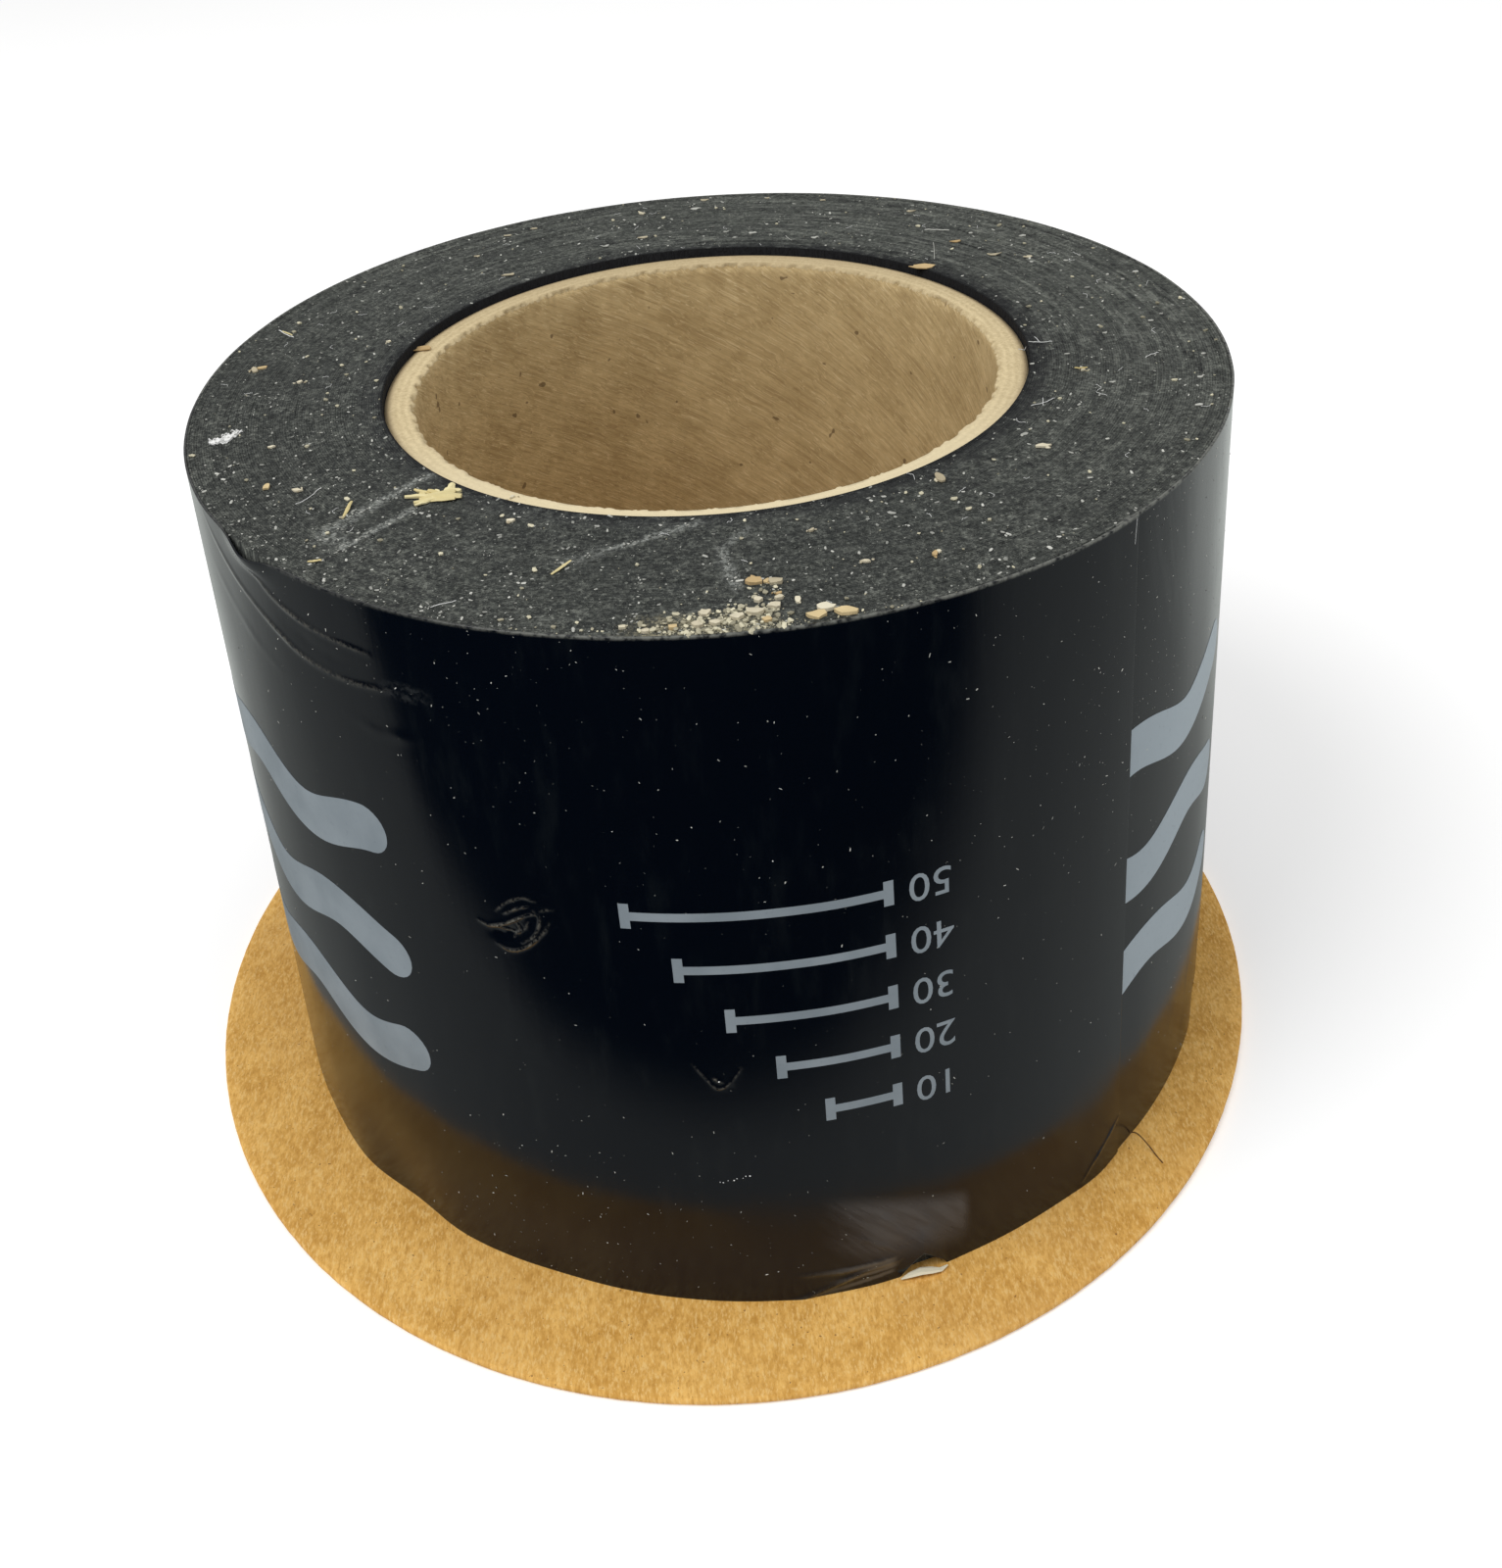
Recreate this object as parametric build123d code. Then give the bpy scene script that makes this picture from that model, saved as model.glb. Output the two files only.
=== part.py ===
from build123d import *
import math
import os

# Roll of flashing tape on a paperboard core, standing on end on its loose kraft separator disc.
# Millimetres, +Z up. The origin is on the roll's axis, at the underside of the disc.

# Tape
tape_width = 95.25
tape_thickness = 0.305
turns = 82                  # full turns on the core, about 28 m of tape

# Core tube
core_bore_diameter = 76.2
core_wall = 4.0
core_end_recess = 1.3       # how far each end of the core lies below the edge of the tape
core_edge_bevel = 0.5
core_fit = 0.1              # radial room between the core and the innermost turn

# Free end of the outermost turn
tail_angle = -47.0          # degrees counter-clockwise from +X, seen from above

# Turns on the ends of the roll
turn_relief = 0.35          # the deepest turns lie this far below the end face
turn_groups = 13            # groups of turns that were wound a little higher or lower
turn_beat = 2.2             # radians from one group to the next in the high and low rhythm
outer_turns = 6             # turns at the outside that make the flat end face

# Separator disc
disc_diameter = 151.0
disc_thickness = 1.0
disc_shift_x = -3.4         # the disc lies loose, so its centre is beside the roll's axis
disc_shift_y = -4.5

# Overrun of every cut past the faces that it opens
overrun = 2.0

# Sizes that follow from those above
bore_radius = core_bore_diameter / 2
core_radius = bore_radius + core_wall
hole_radius = core_radius + core_fit
roll_radius = hole_radius + turns * tape_thickness
roll_bottom = disc_thickness
roll_top = roll_bottom + tape_width


def spiral_outline():
    """Plan of the roll: one turn of a two-centre spiral, closed by the step at the tape's free end."""
    # each half turn is an arc whose radius grows by half the tape's thickness
    centre_shift = tape_thickness / 4
    along = Vector(1, 0).rotate(Axis.Z, tail_angle)
    first_half = CenterArc(-along * centre_shift, roll_radius - 3 * centre_shift, tail_angle, 180)
    second_half = CenterArc(along * centre_shift, roll_radius - centre_shift, tail_angle + 180, 180)
    step = Line(second_half @ 1, first_half @ 0)
    return make_face(first_half + second_half + step)


def turns_cut():
    """Ring that takes the turns down to their own heights, over an end face at height zero."""
    first = hole_radius
    last = roll_radius - outer_turns * tape_thickness
    group_width = (last - first) / turn_groups
    corners = [(first - overrun, overrun)]
    inner = first - overrun
    for group in range(turn_groups):
        depth = turn_relief * (1 + math.cos(turn_beat * group)) / 2
        outer = first + (group + 1) * group_width
        corners.append((inner, -depth))
        corners.append((outer, -depth))
        inner = outer
    corners.append((last, overrun))
    profile = make_face(Plane.XZ * Polyline(*corners, close=True))
    return revolve(profile, Axis.Z, 360)


def wound_tape():
    """All turns of the tape as one solid, with the hole for the core and the turns on both ends."""
    roll = extrude(Pos(0, 0, roll_bottom) * spiral_outline(), amount=tape_width)
    hole = Pos(0, 0, roll_bottom - overrun) * Cylinder(
        hole_radius, tape_width + 2 * overrun, align=(Align.CENTER, Align.CENTER, Align.MIN))
    upper_turns = Pos(0, 0, roll_top) * turns_cut()
    lower_turns = mirror(Pos(0, 0, -roll_bottom) * turns_cut(), Plane.XY)
    return roll - hole - upper_turns - lower_turns


def core():
    """Spiral-wound paperboard tube, a little shorter than the tape is wide, with its cut edges eased."""
    length = tape_width - 2 * core_end_recess
    start = roll_bottom + core_end_recess
    section = Plane.XZ * Pos(bore_radius, start) * Rectangle(
        core_wall, length, align=(Align.MIN, Align.MIN))
    section = chamfer(section.vertices().group_by(Axis.X)[0], core_edge_bevel)
    return revolve(section, Axis.Z, 360)


def separator_disc():
    """Plain die-cut kraft board disc that keeps the adhesive edge off what the roll stands on."""
    return Pos(disc_shift_x, disc_shift_y) * Cylinder(
        disc_diameter / 2, disc_thickness, align=(Align.CENTER, Align.CENTER, Align.MIN))


pieces = {
    "wound_tape": wound_tape(),
    "core": core(),
    "separator_disc": separator_disc(),
}

os.makedirs("parts", exist_ok=True)
for node, shape in pieces.items():
    export_step(shape, f"parts/{node}.step")
    box = shape.bounding_box()
    print(f"{node}: {shape.volume / 1000:.1f} cm3, {box.min.Z:.2f} to {box.max.Z:.2f} mm high")
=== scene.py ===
import math
import random

import bmesh
import bpy
import numpy as np
from mathutils import Matrix, Vector, noise
from mathutils.bvhtree import BVHTree


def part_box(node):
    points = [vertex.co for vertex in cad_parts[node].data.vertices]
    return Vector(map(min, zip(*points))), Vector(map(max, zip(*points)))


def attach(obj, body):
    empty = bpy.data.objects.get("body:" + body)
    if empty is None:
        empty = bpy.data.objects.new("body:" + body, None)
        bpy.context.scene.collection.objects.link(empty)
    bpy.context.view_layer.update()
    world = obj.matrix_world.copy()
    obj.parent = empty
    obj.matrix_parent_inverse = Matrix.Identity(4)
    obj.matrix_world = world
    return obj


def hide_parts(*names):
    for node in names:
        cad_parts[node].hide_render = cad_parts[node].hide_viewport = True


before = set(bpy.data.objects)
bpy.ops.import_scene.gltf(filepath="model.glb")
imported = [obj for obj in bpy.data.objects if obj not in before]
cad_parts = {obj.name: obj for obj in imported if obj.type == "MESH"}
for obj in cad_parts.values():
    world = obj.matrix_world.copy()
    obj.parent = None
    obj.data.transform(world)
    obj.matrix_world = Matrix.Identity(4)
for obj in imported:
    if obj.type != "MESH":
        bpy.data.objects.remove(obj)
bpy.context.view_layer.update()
mm = 0.001

# Sizes of the roll, in millimetres, read from the frame where it holds them
tapeLow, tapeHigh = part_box("wound_tape")
coreLow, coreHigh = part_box("core")
discLow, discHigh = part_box("separator_disc")
roll = {
    "bottom": tapeLow[2] / mm,
    "top": tapeHigh[2] / mm,
    "thickness": 0.305,
    "turns": 82,
    "coreFit": 0.1,
    "tailAngle": -47.1,      # free end of the outermost turn, at the foot of the roll
    "tailLean": -0.9,        # degrees that the free end has moved on by at the top
}
roll["width"] = roll["top"] - roll["bottom"]
roll["coreRadius"] = (coreHigh[0] - coreLow[0]) / 2 / mm
roll["hole"] = roll["coreRadius"] + roll["coreFit"]
roll["radius"] = roll["hole"] + roll["turns"] * roll["thickness"]
degree = math.radians(1) * roll["radius"]      # millimetres of film in a degree


# Node trees: one class wraps a socket, so that sums are written as sums

class Wire:
    def __init__(self, tree, socket=None):
        self.tree = tree
        self.socket = socket

    def add(self, kind, settings=None, values=None):
        made = self.tree.nodes.new(kind)
        for name, setting in (settings or {}).items():
            setattr(made, name, setting)
        for key, value in (values or {}).items():
            if isinstance(value, Wire):
                self.tree.links.new(value.socket, made.inputs[key])
            else:
                made.inputs[key].default_value = value
        return Wire(self.tree, made.outputs[0]) if made.outputs else made

    def out(self, key):
        return Wire(self.tree, self.socket.node.outputs[key])

    def maths(self, operation, *others):
        return self.add("ShaderNodeMath", {"operation": operation}, dict(enumerate((self, *others))))

    def after(self, operation, first):
        return self.add("ShaderNodeMath", {"operation": operation}, {0: first, 1: self})

    def __add__(self, other):
        return self.maths("ADD", other)

    def __sub__(self, other):
        return self.maths("SUBTRACT", other)

    def __mul__(self, other):
        return self.maths("MULTIPLY", other)

    def __truediv__(self, other):
        return self.maths("DIVIDE", other)

    def __pow__(self, other):
        return self.maths("POWER", other)

    def __rsub__(self, other):
        return self.after("SUBTRACT", other)

    def __rtruediv__(self, other):
        return self.after("DIVIDE", other)

    def __neg__(self):
        return self * -1

    __radd__ = __add__
    __rmul__ = __mul__

    def ease(self, low, high):
        # 0 below low, 1 above high, smooth between
        return self.add("ShaderNodeMapRange", {"interpolation_type": "SMOOTHSTEP"},
                        {"Value": self, "From Min": low, "From Max": high})

    def pick(self, low, high):
        # the colour low where this is 0, high where it is 1
        def full(colour):
            return (*colour, 1) if isinstance(colour, tuple) else colour
        return self.add("ShaderNodeMix", {"data_type": "RGBA"},
                        {0: self, 6: full(low), 7: full(high)}).out(2)

    def parts(self):
        split = self.add("ShaderNodeSeparateXYZ", {}, {0: self})
        return split.out(0), split.out(1), split.out(2)

    def joined(self, x, y, z):
        return self.add("ShaderNodeCombineXYZ", {}, {0: x, 1: y, 2: z})

    def scaled(self, factors):
        return self.add("ShaderNodeVectorMath", {"operation": "MULTIPLY"}, {0: self, 1: factors})

    def noise(self, scale, detail=2.0, rough=0.5):
        return self.add("ShaderNodeTexNoise", {"noise_dimensions": "3D"},
                        {"Vector": self, "Scale": scale, "Detail": detail, "Roughness": rough})


def newMaterial(name):
    # an empty material, its wires, and the point on the piece in millimetres
    material = bpy.data.materials.new(name)
    material.use_nodes = True
    material.node_tree.nodes.clear()
    wire = Wire(material.node_tree)
    place = wire.add("ShaderNodeTexCoord").out("Object").scaled((1 / mm, 1 / mm, 1 / mm))
    return material, wire, place


def closeMaterial(wire, surface):
    wire.add("ShaderNodeOutputMaterial", {}, {"Surface": surface})


def closeSolid(wire, colour, roughness, relief, strength, depth, more):
    # the usual surface: relief is its bump, depth that bump's height in millimetres
    normal = wire.add("ShaderNodeBump", {}, {"Height": relief, "Strength": strength, "Distance": depth * mm})
    closeMaterial(wire, wire.add("ShaderNodeBsdfPrincipled", {}, {
        "Base Color": colour, "Roughness": roughness, "Normal": normal, **more}))


def layered(colour, *layers):
    # each layer is how strongly it covers what lies below it, and its colour
    for cover, paint in layers:
        colour = cover.pick(colour, paint)
    return colour


def alongLine(u, v, start, end, wander):
    # how far each point lies along a straight line and beside it, and how long the line is
    length = math.dist(start, end)
    runU, runV = (end[0] - start[0]) / length, (end[1] - start[1]) / length
    along = (u - start[0]) * runU + (v - start[1]) * runV
    beside = ((v - start[1]) * runU - (u - start[0]) * runV + wander).maths("ABSOLUTE")
    return along, beside, length


# Materials

nickPulls = [    # pale lines that run out from the nick in the film's foot: from, to and half width
    ((-77.4, 3.5), (-87.5, 3.9), 0.55), ((-77.3, 2.4), (-85.6, 1.9), 0.50),
    ((-77.6, 1.6), (-89.0, -0.2), 0.50), ((-77.5, 2.9), (-82.5, 3.0), 0.45),
]


def filmMaterial():
    material, wire, place = newMaterial("filmBlack")
    x, y, z = place.parts()
    height = z - roll["bottom"]
    angle = y.maths("ARCTAN2", x) * (180 / math.pi)
    around = angle * degree

    def blot(centre, up, wide, tall):
        # soft spot on the film
        across, above = (angle - centre) / wide, (height - up) / tall
        return 1 - (across * across + above * above).ease(0.1, 1.0)
    haze = place.noise(0.05, 3.0).ease(0.45, 0.75)
    smear = place.scaled((1, 1, 0.25)).noise(0.35, 4.0, 0.6).ease(0.5, 0.8)
    wisps = place.scaled((0.5, 0.5, 1.6)).noise(0.9, 4.0, 0.7).ease(0.58, 0.80) * haze
    smudge = blot(-120.6, 85.1, 3.6, 1.5) * place.noise(1.4, 4.0, 0.7).ease(0.40, 0.66)
    # chalky patch above the nick, partly scuffed film and partly a painted sheen, with streaks that lean up
    # to the left
    pulls = wire.joined((around + height * 0.9) * 0.75, height * 0.16, 0.0).noise(1.0, 4.0, 0.6)
    wobble = (pulls - 0.5) * 5.0
    patch = (angle + height * 0.15 + wobble).ease(-83.5, -76.5) * (1 - angle.ease(-70.0, -68.4))
    patchTop = height + (angle + 78.0) * 0.33 + wobble * 0.25
    patch = patch * height.ease(1.5, 7.5) * (1 - patchTop.ease(11.6, 14.8))
    chalkAndSheen = patch * (0.70 + 0.30 * pulls.ease(0.36, 0.64))
    drawnOut = 0.0
    for start, end, width in nickPulls:
        along, beside, length = alongLine(around, height, (start[0] * degree, start[1]),
                                          (end[0] * degree, end[1]), (pulls - 0.5) * 0.5)
        fade = along.ease(-0.6, 0.6) * (1 - along.ease(length * 0.2, length))
        drawnOut = drawnOut + (1 - beside.ease(0.15 * width, width)) * fade
    # the cut edge of the film is worn pale, with a painted highlight along the upper rim, and the crests of
    # the folds are scuffed pale, partly a painted glint
    front = angle.ease(-125.0, -100.0) * 0.75 + 0.25
    rimWearAndHighlight = height.ease(roll["width"] - 0.45, roll["width"] - 0.02) * front
    wornFoot = 1 - height.ease(0.02, 0.3)
    wearAndRimHighlight = (rimWearAndHighlight * 0.9 + wornFoot * 0.15) * place.noise(1.5, 3.0).ease(0.28, 0.62)
    # the crests of the folds: pale where scuffed, and partly a painted glint
    scuffAndGlint = wire.add("ShaderNodeAttribute", {"attribute_name": "scuffAndGlint"}).out("Fac")
    scuffAndGlint = scuffAndGlint * place.noise(2.4, 3.0, 0.6).ease(0.38, 0.60)
    # painted highlight at the upper right: pale streaks over a wider painted sheen
    slant = wire.joined((around + height * 0.28) * 0.9, height * 0.07, 0.0).noise(1.0, 4.0, 0.65)
    paintedHighlightStreaks = blot(-20.5, 88.0, 7.0, 16.0) * slant.ease(0.50, 0.66)
    paintedSheen = blot(-33.0, 90.0, 15.0, 20.0) * (slant.ease(0.40, 0.62) * 0.7 + 0.3)
    colour = layered(
        (1 - height.ease(4.0, 17.0)).pick((0.0006, 0.0017, 0.0042), (0.0008, 0.0038, 0.0100)),
        (smear * 0.35 + wisps * 0.5, (0.008, 0.0105, 0.0125)),
        (paintedSheen * 0.4, (0.055, 0.060, 0.058)),
        (paintedHighlightStreaks * 0.7, (0.30, 0.32, 0.31)),
        (chalkAndSheen, (0.062, 0.062, 0.065)),
        (smudge * 0.4, (0.040, 0.044, 0.046)),
        (drawnOut.maths("MINIMUM", 1.0) * 0.8, (0.098, 0.092, 0.084)),
        (scuffAndGlint, (0.33, 0.31, 0.25)),
        (wearAndRimHighlight, (0.17, 0.175, 0.155)))
    roughness = 0.12 + (1 - height.ease(4.0, 26.0)) * 0.07 + haze * 0.05 + smear * 0.05 + chalkAndSheen * 0.14
    roughness = roughness + smudge * 0.1 + wearAndRimHighlight * 0.4 + scuffAndGlint * 0.25 + paintedSheen * 0.06
    relief = place.scaled((1, 1, 0.06)).noise(1.2, 2.0) * 0.5 + place.noise(0.9, 2.0) * 0.4
    relief = relief + pulls * patch * 0.8
    closeSolid(wire, colour, roughness, relief, 0.5, 0.02, {"IOR": 1.36})
    return material


rubbed = [    # dusty lines on the upper end: from, to, half width and strength
    ((-33.2, -26.9), (-38.5, -33.0), 1.0, 0.75), ((-38.5, -33.0), (-43.9, -40.2), 1.6, 0.65),
    ((-34.0, -35.3), (-41.7, -43.8), 0.8, 1.00), ((-44.5, -41.0), (-41.0, -42.0), 2.4, 0.50),
    ((-1.7, -43.9), (-11.9, -48.4), 1.0, 0.65), ((-11.9, -48.4), (-17.0, -50.5), 1.6, 0.35),
    ((0.2, -50.3), (1.6, -58.5), 1.2, 0.60), ((3.5, -45.8), (0.2, -50.3), 0.9, 0.40),
]


def turnMaterial():
    # cut edges of all turns: charcoal, matt, pebbled, with short dashes along the turns
    material, wire, place = newMaterial("turnEdges")
    x, y = place.parts()[:2]
    radius = (x * x + y * y) ** 0.5
    flat = place.scaled((1, 1, 0.3))

    def ringed(around, outwards, detail, rough):
        # noise that is drawn out along the turns
        drawn = wire.joined(x / radius * around, y / radius * around, radius * outwards)
        return drawn.noise(1.0, detail, rough)
    dashes = ringed(46.0, 3.4, 3.0, 0.65)
    sweeps = ringed(9.0, 1.15, 4.0, 0.65)
    rings = ringed(2.6, 1.9, 3.0, 0.6)
    pebbles = flat.noise(2.1, 2.0, 0.6)
    fine = flat.noise(5.0, 2.0, 0.6)
    curls = 1 - (flat.noise(1.5, 1.0) - 0.5).maths("ABSOLUTE").ease(0.012, 0.060)
    clouds = flat.noise(0.07, 3.0, 0.6).ease(0.35, 0.7)
    patches = flat.noise(0.45, 3.0, 0.6)
    flecks = flat.noise(1.7, 1.0).ease(0.70, 0.75)
    lumps = flat.noise(0.85, 2.0, 0.6)
    backwards = (y * 0.7 + x * 0.4).ease(-25.0, 45.0)
    smears = 0.0
    for start, end, width, strength in rubbed:
        along, beside, length = alongLine(x, y, start, end, (lumps - 0.5) * 1.4)
        ends = along.ease(-1.2, 1.0) * (1 - along.ease(length - 1.0, length + 1.2))
        smears = smears + (1 - beside.ease(0.1 * width, width)) * ends * strength
    # every turn takes its own shade, and a slow one runs over groups of turns
    turnShade = wire.joined(radius * (1 / roll["thickness"]), x * 0.012, y * 0.012).noise(0.9, 1.0)
    groupShade = wire.joined(radius * 0.55, x * 0.02, y * 0.02).noise(1.0, 2.0)
    shade = turnShade.ease(0.35, 0.7) * 0.25 + groupShade.ease(0.35, 0.7) * 0.30
    shade = shade + patches.ease(0.35, 0.65) * 0.45
    # painted shade: the turns darken towards the hole, with less dust there
    shadeNearCore = 1 - radius.ease(roll["hole"] + 0.3, roll["hole"] + 4.0)
    # painted shadow: black at the edge of the hole, in the recess above the core
    inside = 1 - radius.ease(roll["hole"] + 0.05, roll["hole"] + 0.35)
    towardsBack = (y * 0.6 + x * 0.5).ease(-45.0, 75.0)
    # pale dust on the turns, partly a painted highlight on the raised lumps of the relief
    dustAndHighlights = pebbles.ease(0.52, 0.64) * 0.52 + fine.ease(0.54, 0.66) * 0.30 + curls * 0.26
    dustAndHighlights = dustAndHighlights + dashes.ease(0.54, 0.66) * 0.30 + lumps.ease(0.54, 0.66) * 0.34
    dustAndHighlights = dustAndHighlights + sweeps.ease(0.54, 0.64) * (backwards * 0.50 + 0.15)
    dustAndHighlights = dustAndHighlights + rings.ease(0.54, 0.62) * (backwards * 0.38 + 0.06) + flecks * 1.1
    dust = dustAndHighlights * (clouds * 0.30 + 0.50) * (1 - shadeNearCore * 0.4)
    # painted shade: dark where the bumps of the relief lie low
    shadedHollows = (1 - pebbles.ease(0.32, 0.46)) * 0.55 + (1 - lumps.ease(0.32, 0.44)) * 0.4
    shadedHollows = shadedHollows + (1 - sweeps.ease(0.36, 0.46)) * (backwards * 0.42 + 0.1)
    shadedHollows = shadedHollows + (1 - rings.ease(0.36, 0.45)) * (backwards * 0.35 + 0.1)
    # painted shadow: a wide dark band beside the hole at the right, with a lumpy edge
    rightRecessShadow = (1 - (radius + (lumps - 0.5) * 9.0).ease(43.0, 47.0)) * x.ease(-5.0, 30.0) * 0.55
    # painted shadow: a dark ring round the hole with a ragged edge
    ragged = 1 - (radius + (lumps - 0.5) * 5.0).ease(42.3, 43.3)
    speckled = flat.noise(2.0, 3.0, 0.65).ease(0.47, 0.57) * 0.85 + 0.15
    # crumbs lie densest in a sector at the front of the rim
    sector = (y.maths("ARCTAN2", x) * (180 / math.pi) + 91.8 + (lumps - 0.5) * 6.0).maths("ABSOLUTE")
    crumbs = (1 - sector.ease(3.5, 8.0)) * (radius + (lumps - 0.5) * 2.5).ease(62.2, 64.6)
    colour = layered(
        shade.pick((0.024, 0.027, 0.026), (0.046, 0.051, 0.047)),
        (towardsBack * 0.72, (0.088, 0.095, 0.084)),
        (shadeNearCore * 0.6, (0.024, 0.026, 0.029)),
        (dust.maths("MINIMUM", 1.2), (0.250, 0.262, 0.230)),
        ((shadedHollows * 0.78).maths("MINIMUM", 0.9), (0.009, 0.010, 0.011)),
        (rightRecessShadow, (0.012, 0.013, 0.014)),
        (ragged * 0.75, (0.010, 0.011, 0.012)),
        ((smears * speckled * 1.3).maths("MINIMUM", 0.9), (0.34, 0.355, 0.33)),
        (crumbs * speckled * 0.85, (0.36, 0.33, 0.22)),
        (inside, (0.003, 0.003, 0.004)))
    relief = pebbles * 0.9 + dashes * 0.4 + fine * 0.4 + curls * 0.3 + sweeps * 0.5 + lumps * 0.6
    closeSolid(wire, colour, 0.70 + dust * 0.2, relief, 1.0, 0.32, {"Specular IOR Level": 0.2})
    return material


def boreMaterial():
    # brown inner ply with slanting fibre marks, and the pale torn lip at its mouth
    material, wire, place = newMaterial("coreBoard")
    x, y, z = place.parts()
    # turning with height lays the marks along a helix round the bore, and the bend makes them wander
    turn = z * -0.037
    bend = (place.noise(0.22, 3.0) - 0.5) * 3.0
    turned = wire.joined(x * turn.maths("COSINE") - y * turn.maths("SINE") + bend,
                         x * turn.maths("SINE") + y * turn.maths("COSINE"), z * 0.30 + bend)
    streaks = turned.noise(1.1, 4.0, 0.62)
    scratches = turned.scaled((1, 1, 0.8)).noise(2.8, 3.0, 0.65)
    mottle = place.noise(0.16, 4.0, 0.6)
    speckle = place.noise(2.2, 4.0, 0.7)
    spots = place.noise(0.5, 1.0)
    radius = (x * x + y * y) ** 0.5
    endTop = coreHigh[2] / mm + (1 - y / roll["coreRadius"]) * (core["lean"] / 2)
    endFoot = coreLow[2] / mm
    tear = place.noise(1.8, 3.0, 0.65) * 1.3 - 0.50
    upper = (z + tear - endTop).ease(-0.46, -0.34)
    lower = 1 - (z - tear).ease(endFoot + 0.28, endFoot + 0.40)
    lip = (upper + lower).maths("MINIMUM", 1.0)
    plies = (radius * core["plies"] + place.noise(0.3, 2.0) * 2.0).maths("SINE") * 0.5 + 0.5
    # the outer band of the rim is darker: partly a browner ply, partly painted shade beside the wall of
    # turns
    outerPlyAndShade = radius.ease(roll["coreRadius"] - 1.4, roll["coreRadius"] - 0.1)
    # painted highlight: the front of the rim is paler, as where its edge is lit; the back is darker
    front = (y / roll["coreRadius"] * -1.0).ease(0.2, 0.9)
    back = (y / roll["coreRadius"]).ease(0.2, 0.9)
    brown = layered(
        (streaks.ease(0.34, 0.66) * 0.55 + mottle.ease(0.35, 0.65) * 0.45).pick(
            (0.425, 0.305, 0.142), (0.655, 0.500, 0.260)),
        (scratches.ease(0.54, 0.68) * 0.62, (0.82, 0.67, 0.40)),
        ((1 - scratches.ease(0.32, 0.44)) * 0.48, (0.30, 0.20, 0.09)),
        (spots.ease(0.745, 0.775) * 0.7, (0.12, 0.07, 0.03)))
    pale = layered(
        (plies * 0.25 + mottle * 0.30 + speckle.ease(0.35, 0.65) * 0.45).pick(
            (0.80, 0.66, 0.40), (0.50, 0.39, 0.215)),
        (outerPlyAndShade * 0.65, (0.40, 0.295, 0.165)),
        (front * 0.75, (0.82, 0.71, 0.47)),
        (back * 0.40, (0.42, 0.32, 0.18)))
    relief = streaks * 0.5 + scratches * 0.6 + plies * lip * 0.3 + speckle * (lip * 0.8 + 0.2)
    closeSolid(wire, lip.pick(brown, pale), 0.8, relief, 0.6, 0.12, {"Specular IOR Level": 0.3})
    return material


def kraftMaterial():
    # mottled board: pale flocks of fibre on brown, with soft clouds and rare dark specks
    material, wire, place = newMaterial("kraftBoard")
    flat = place.scaled((1, 1, 0.3))
    flocks = place.scaled((1.3, 0.62, 0.3)).noise(1.05, 3.0, 0.6)
    fibres = place.scaled((1.7, 0.60, 0.3)).noise(2.1, 3.0, 0.6)
    clouds = flat.noise(0.11, 4.0, 0.55)
    colour = layered(
        (flocks.ease(0.34, 0.66) * 0.6 + clouds.ease(0.35, 0.65) * 0.4).pick(
            (0.625, 0.320, 0.062), (0.905, 0.535, 0.150)),
        (fibres.ease(0.50, 0.66) * 0.55, (0.96, 0.66, 0.27)),
        ((1 - fibres.ease(0.32, 0.46)) * 0.42, (0.48, 0.23, 0.045)),
        (flat.noise(0.035, 2.0).ease(0.45, 0.70) * 0.25, (0.56, 0.31, 0.10)),
        (flat.noise(2.1, 1.0, 0.5).ease(0.735, 0.79) * 0.75, (0.20, 0.09, 0.03)))
    closeSolid(wire, colour, 0.82, flocks * 0.7 + fibres * 0.6, 0.6, 0.18, {"Specular IOR Level": 0.25})
    return material


def inkMaterial():
    material, wire, place = newMaterial("paleInk")
    screen = place.noise(1.6, 3.0, 0.6)
    colour = layered(
        place.noise(0.12, 3.0, 0.5).ease(0.3, 0.7).pick((0.185, 0.222, 0.250), (0.235, 0.275, 0.305)),
        # painted light: the ink turns paler towards the right, where more light falls
        (place.parts()[0].ease(25.0, 62.0), (0.370, 0.435, 0.480)),
        (screen.ease(0.62, 0.75) * 0.35, (0.12, 0.145, 0.17)))
    closeSolid(wire, colour, 0.36 + screen * 0.1, screen, 0.2, 0.02, {"IOR": 1.45})
    return material


def grainMaterial(name, dark, pale):
    # dust, chips and fibres; each realized grain carries its own tint
    material, wire, place = newMaterial(name)
    tint = wire.add("ShaderNodeAttribute", {"attribute_name": "tint"}).out("Fac")
    spots = place.noise(3.0, 3.0, 0.6)
    colour = (tint * 0.8 + spots * 0.2).pick(dark, pale)
    closeSolid(wire, colour, 0.85, spots, 0.5, 0.05, {"Specular IOR Level": 0.2})
    return material


floorLook = {"glow": 0.22, "bench": 0.345, "darkEdge": -99.0}


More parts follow.
